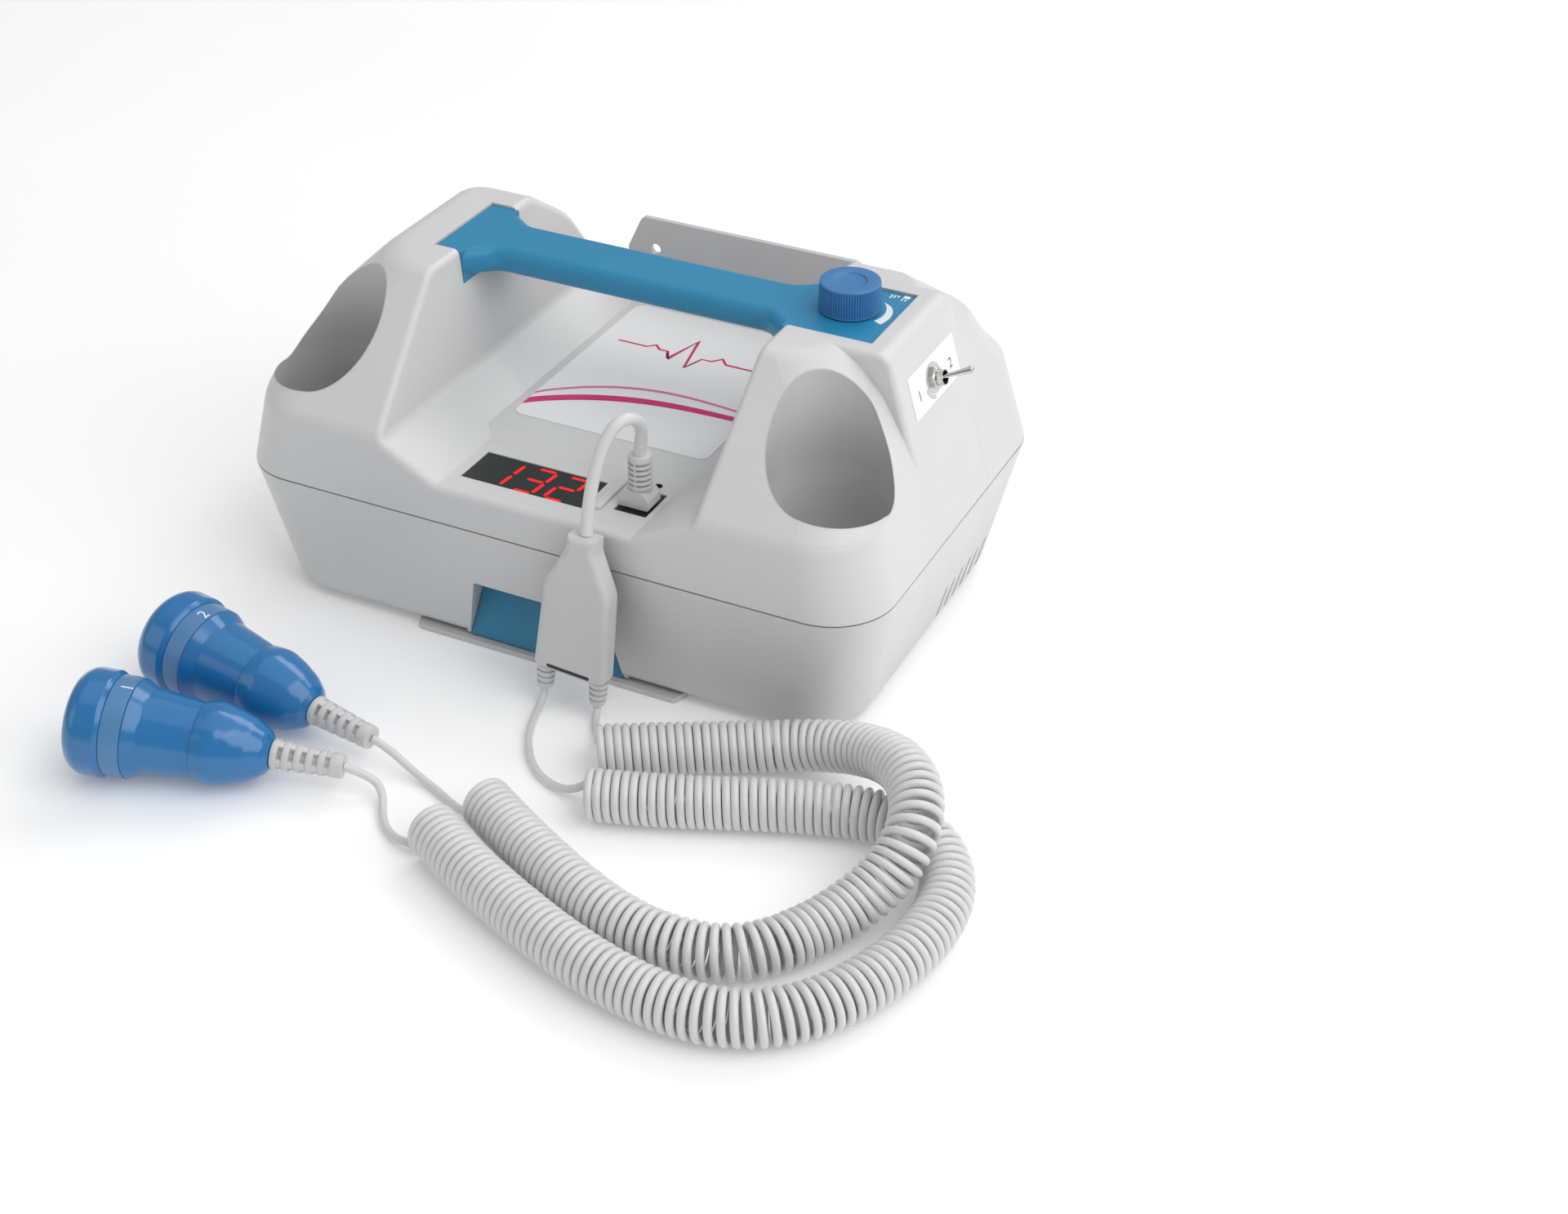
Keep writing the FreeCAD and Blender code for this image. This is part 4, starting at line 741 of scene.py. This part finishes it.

# black sheet behind the vents in the right wall and black fill down the slots: painted shade of the hollow behind them
def vent_shade_fill():
    vs, fs = [], []

    def slab(quad, d0, d1):
        n = len(vs)
        for dd in (d0, d1):
            vs.extend(mm((142.5 - 0.2053 * (58.3 - z) - dd, y, z)) for y, z in quad)
        fs.extend([[n, n + 1, n + 2, n + 3], [n + 7, n + 6, n + 5, n + 4]])
        fs.extend([[n + k, n + 4 + k, n + 4 + (k + 1) % 4, n + (k + 1) % 4] for k in range(4)])
    # painted shade: the black sheet behind the slots, then black fill in each slot
    slab([(-1.5, 4.9), (52.5, 4.9), (52.5, 19.4), (-1.5, 19.4)], 2.62, 3.02)
    for i in range(6):
        y = 1.6 + 8.62 * i
        slab([(y - 0.88, 5.96), (y + 0.88, 5.96), (y + 4.9, 18.14), (y + 3.68, 18.14)], 0.05, 2.7)
    return link(mesh_object("vent_shade_fill", vs, fs, False), "monitor", M["black"])


vent_shade_fill()
turned("earphone_sleeve", (34.6, -55.9, 0.0), (0, 0, 1), [(70.9, 0.3), (70.9, 1.87), (73.70, 1.87), (73.72, 1.80), (73.72, 1.62), (73.5, 1.52), (71.2, 1.52), (71.2, 0.3)], M["black"], "monitor", steps=48, ref=(1, 0, 0))
turned("earphone_contact", (34.6, -55.9, 0.0), (0, 0, 1), [(71.25, 0.5), (71.25, 1.48), (72.3, 1.48), (72.3, 1.25), (71.4, 1.25), (71.4, 0.5)], M["nickel"], "monitor", steps=48, ref=(1, 0, 0))

# black lining inside the toggle's bushing, painted shade of its bore
TBo = TB
turned("toggle_bore_shade", tuple(TBo), tuple(FN), [(0.95, 0.4), (0.95, 2.77), (5.2, 2.77), (5.2, 2.66), (1.15, 2.66), (1.15, 0.4)], M["black"], "monitor", steps=48, ref=(0, 1, 0))


# ------------------------------------------------------------------ strain reliefs with windows
def windowed(name, node_name, o, d, core, rings, body="monitor", mat="mould", ref=(0, 0, 1), half=36.0, steps=120, turn=0.0, rim=0.20):
    """rings = [(s0, s1, r0, r1), ...]. Between two rings four windows go down to the core, each that many
    degrees to either side of its middle; the webs between them stand a little below the rings."""
    prof, kinds = [], []

    def add(sv, r, kind):
        prof.append((sv, r))
        kinds.append(kind)
    for i, (s0, s1, r0, r1) in enumerate(rings):
        if i:
            p0, p1, pr0, pr1 = rings[i - 1]
            for k in (0.02, 0.98):
                add(p1 + (s0 - p1) * k, pr1 + (r0 - pr1) * k, 1)
        add(s0, r0 - rim, 0)
        add(s0 + rim * 0.3, r0 - rim * 0.3, 0)
        add(s0 + rim, r0, 0)
        add(s1 - rim, r1, 0)
        add(s1 - rim * 0.3, r1 - rim * 0.3, 0)
        add(s1, r1 - rim, 0)

    def off(sv, a, i):
        if kinds[i] == 0:
            return 0.0
        a = math.degrees(a + turn) % 90.0
        return prof[i][1] - core if abs(a - 45.0) < half + 0.01 else rim * 0.9
    ob = turned(name, o, d, prof, M[mat], body, depth=off, steps=steps, ref=ref)
    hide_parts(node_name)
    return ob


windowed("plug_relief_skin", "plug_relief", (34.9, -70.0, 0.0), (0, 0, 1), 3.0,
         [(81.32, 81.7, 4.85, 4.85)] + [(82.0 + 2.30 * i, 83.3 + 2.30 * i, 4.88, 4.88) for i in range(5)] + [(93.5, 95.98, 4.88, 4.5)], ref=(1, 0, 0), half=36.0)


def probe_axis(end, head):
    h, c = math.radians(head), math.sqrt(1 - 0.105 ** 2)
    d = Vector((c * math.cos(h), c * math.sin(h), -0.105))
    return Vector(end) - d * 105.0, d


PROBES = {"a": probe_axis(EA, -5.6), "b": probe_axis(EB, 17.1)}
for k, (o, d) in PROBES.items():
    rings = [(77.92 + 4.5 * i, 80.45 + 4.5 * i, 5.88 - 0.22 * i, 5.80 - 0.22 * i) for i in range(5)] + [(100.42, 104.95, 4.88, 4.68)]
    windowed("probe_%s_relief_skin" % k, "probe_%s_relief" % k, tuple(o), tuple(d), 3.1, rings, half=26.0, rim=0.30)

# plain figures on the probe bands
for k, ch, sv, phi in (("a", "2", 22.4, 0.0), ("b", "1", 23.0, -2.0)):
    o, d = PROBES[k]
    e1 = (Vector((0, 0, 1)) - d * d.z).normalized()
    e2 = d.cross(e1)

    def on_band(v, o=o, d=d, e1=e1, e2=e2, sv=sv, phi=phi):
        a = math.radians(phi) + v.x / 19.3
        r = 19.29 + v.z
        return mm(o + d * (sv - v.y) + (e1 * math.cos(a) - e2 * math.sin(a)) * r)
    place_glyph("probe_figure_" + ch, ch, 4.6, 0.05, on_band, M["print_white"], "monitor")


# ------------------------------------------------------------------ cords in place
link(cord_a, "monitor", M["cable"])
link(cord_b, "monitor", M["cable"])
link(trunk, "monitor", M["cable"])
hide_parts("lead_a", "coil_a", "tail_a")
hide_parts("lead_b", "coil_b", "tail_b")
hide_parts("trunk_cord")


# ------------------------------------------------------------------ floor and light
def add_stage():
    me = bpy.data.meshes.new("floor")
    s = 6.0
    me.from_pydata([(-s, -s, -0.0002), (s, -s, -0.0002), (s, s, -0.0002), (-s, s, -0.0002)], [], [(0, 1, 2, 3)])
    ob = bpy.data.objects.new("floor", me)
    scene.collection.objects.link(ob)
    m, nt, b = new_mat("floor_paper")
    v = tex_coord(nt)
    nt.links.new(ramp(nt, noise_tex(nt, v, 3.0, 2.0), [(0.3, (0.92, 0.92, 0.92)), (0.7, (0.94, 0.94, 0.94))]), b.inputs["Base Color"])
    b.inputs["Emission Color"].default_value = (1, 1, 1, 1)
    b.inputs["Emission Strength"].default_value = 0.12
    b.inputs["Roughness"].default_value = 0.9
    b.inputs["Specular IOR Level"].default_value = 0.1
    me.materials.append(m)


def area_light(name, loc, target, size, power, size_y=None, col=(1, 1, 1)):
    li = bpy.data.lights.new(name, "AREA")
    li.energy = power
    li.color = col
    li.size = size
    if size_y:
        li.shape = "RECTANGLE"
        li.size_y = size_y
    ob = bpy.data.objects.new(name, li)
    ob.location = loc
    d = Vector(target) - Vector(loc)
    ob.rotation_euler = d.to_track_quat("-Z", "Y").to_euler()
    scene.collection.objects.link(ob)
    return ob


add_stage()
world = bpy.data.worlds.new("studio")
scene.world = world
world.use_nodes = True
bg = world.node_tree.nodes["Background"]
bg.inputs["Color"].default_value = (1, 1, 1, 1)
bg.inputs["Strength"].default_value = 0.36
area_light("key", (1.45, -0.3, 1.38), (0.02, -0.05, 0.05), 2.0, 24)
area_light("top", (0.0, 0.15, 2.0), (0, 0, 0), 2.4, 9)
area_light("front_left", (-1.3, -1.4, 0.9), (0, -0.1, 0.05), 1.2, 3.2)
area_light("backdrop", (0.6, 3.0, 2.6), (0.0, 3.2, 0.0), 2.6, 60)
scene.view_settings.view_transform = "Standard"
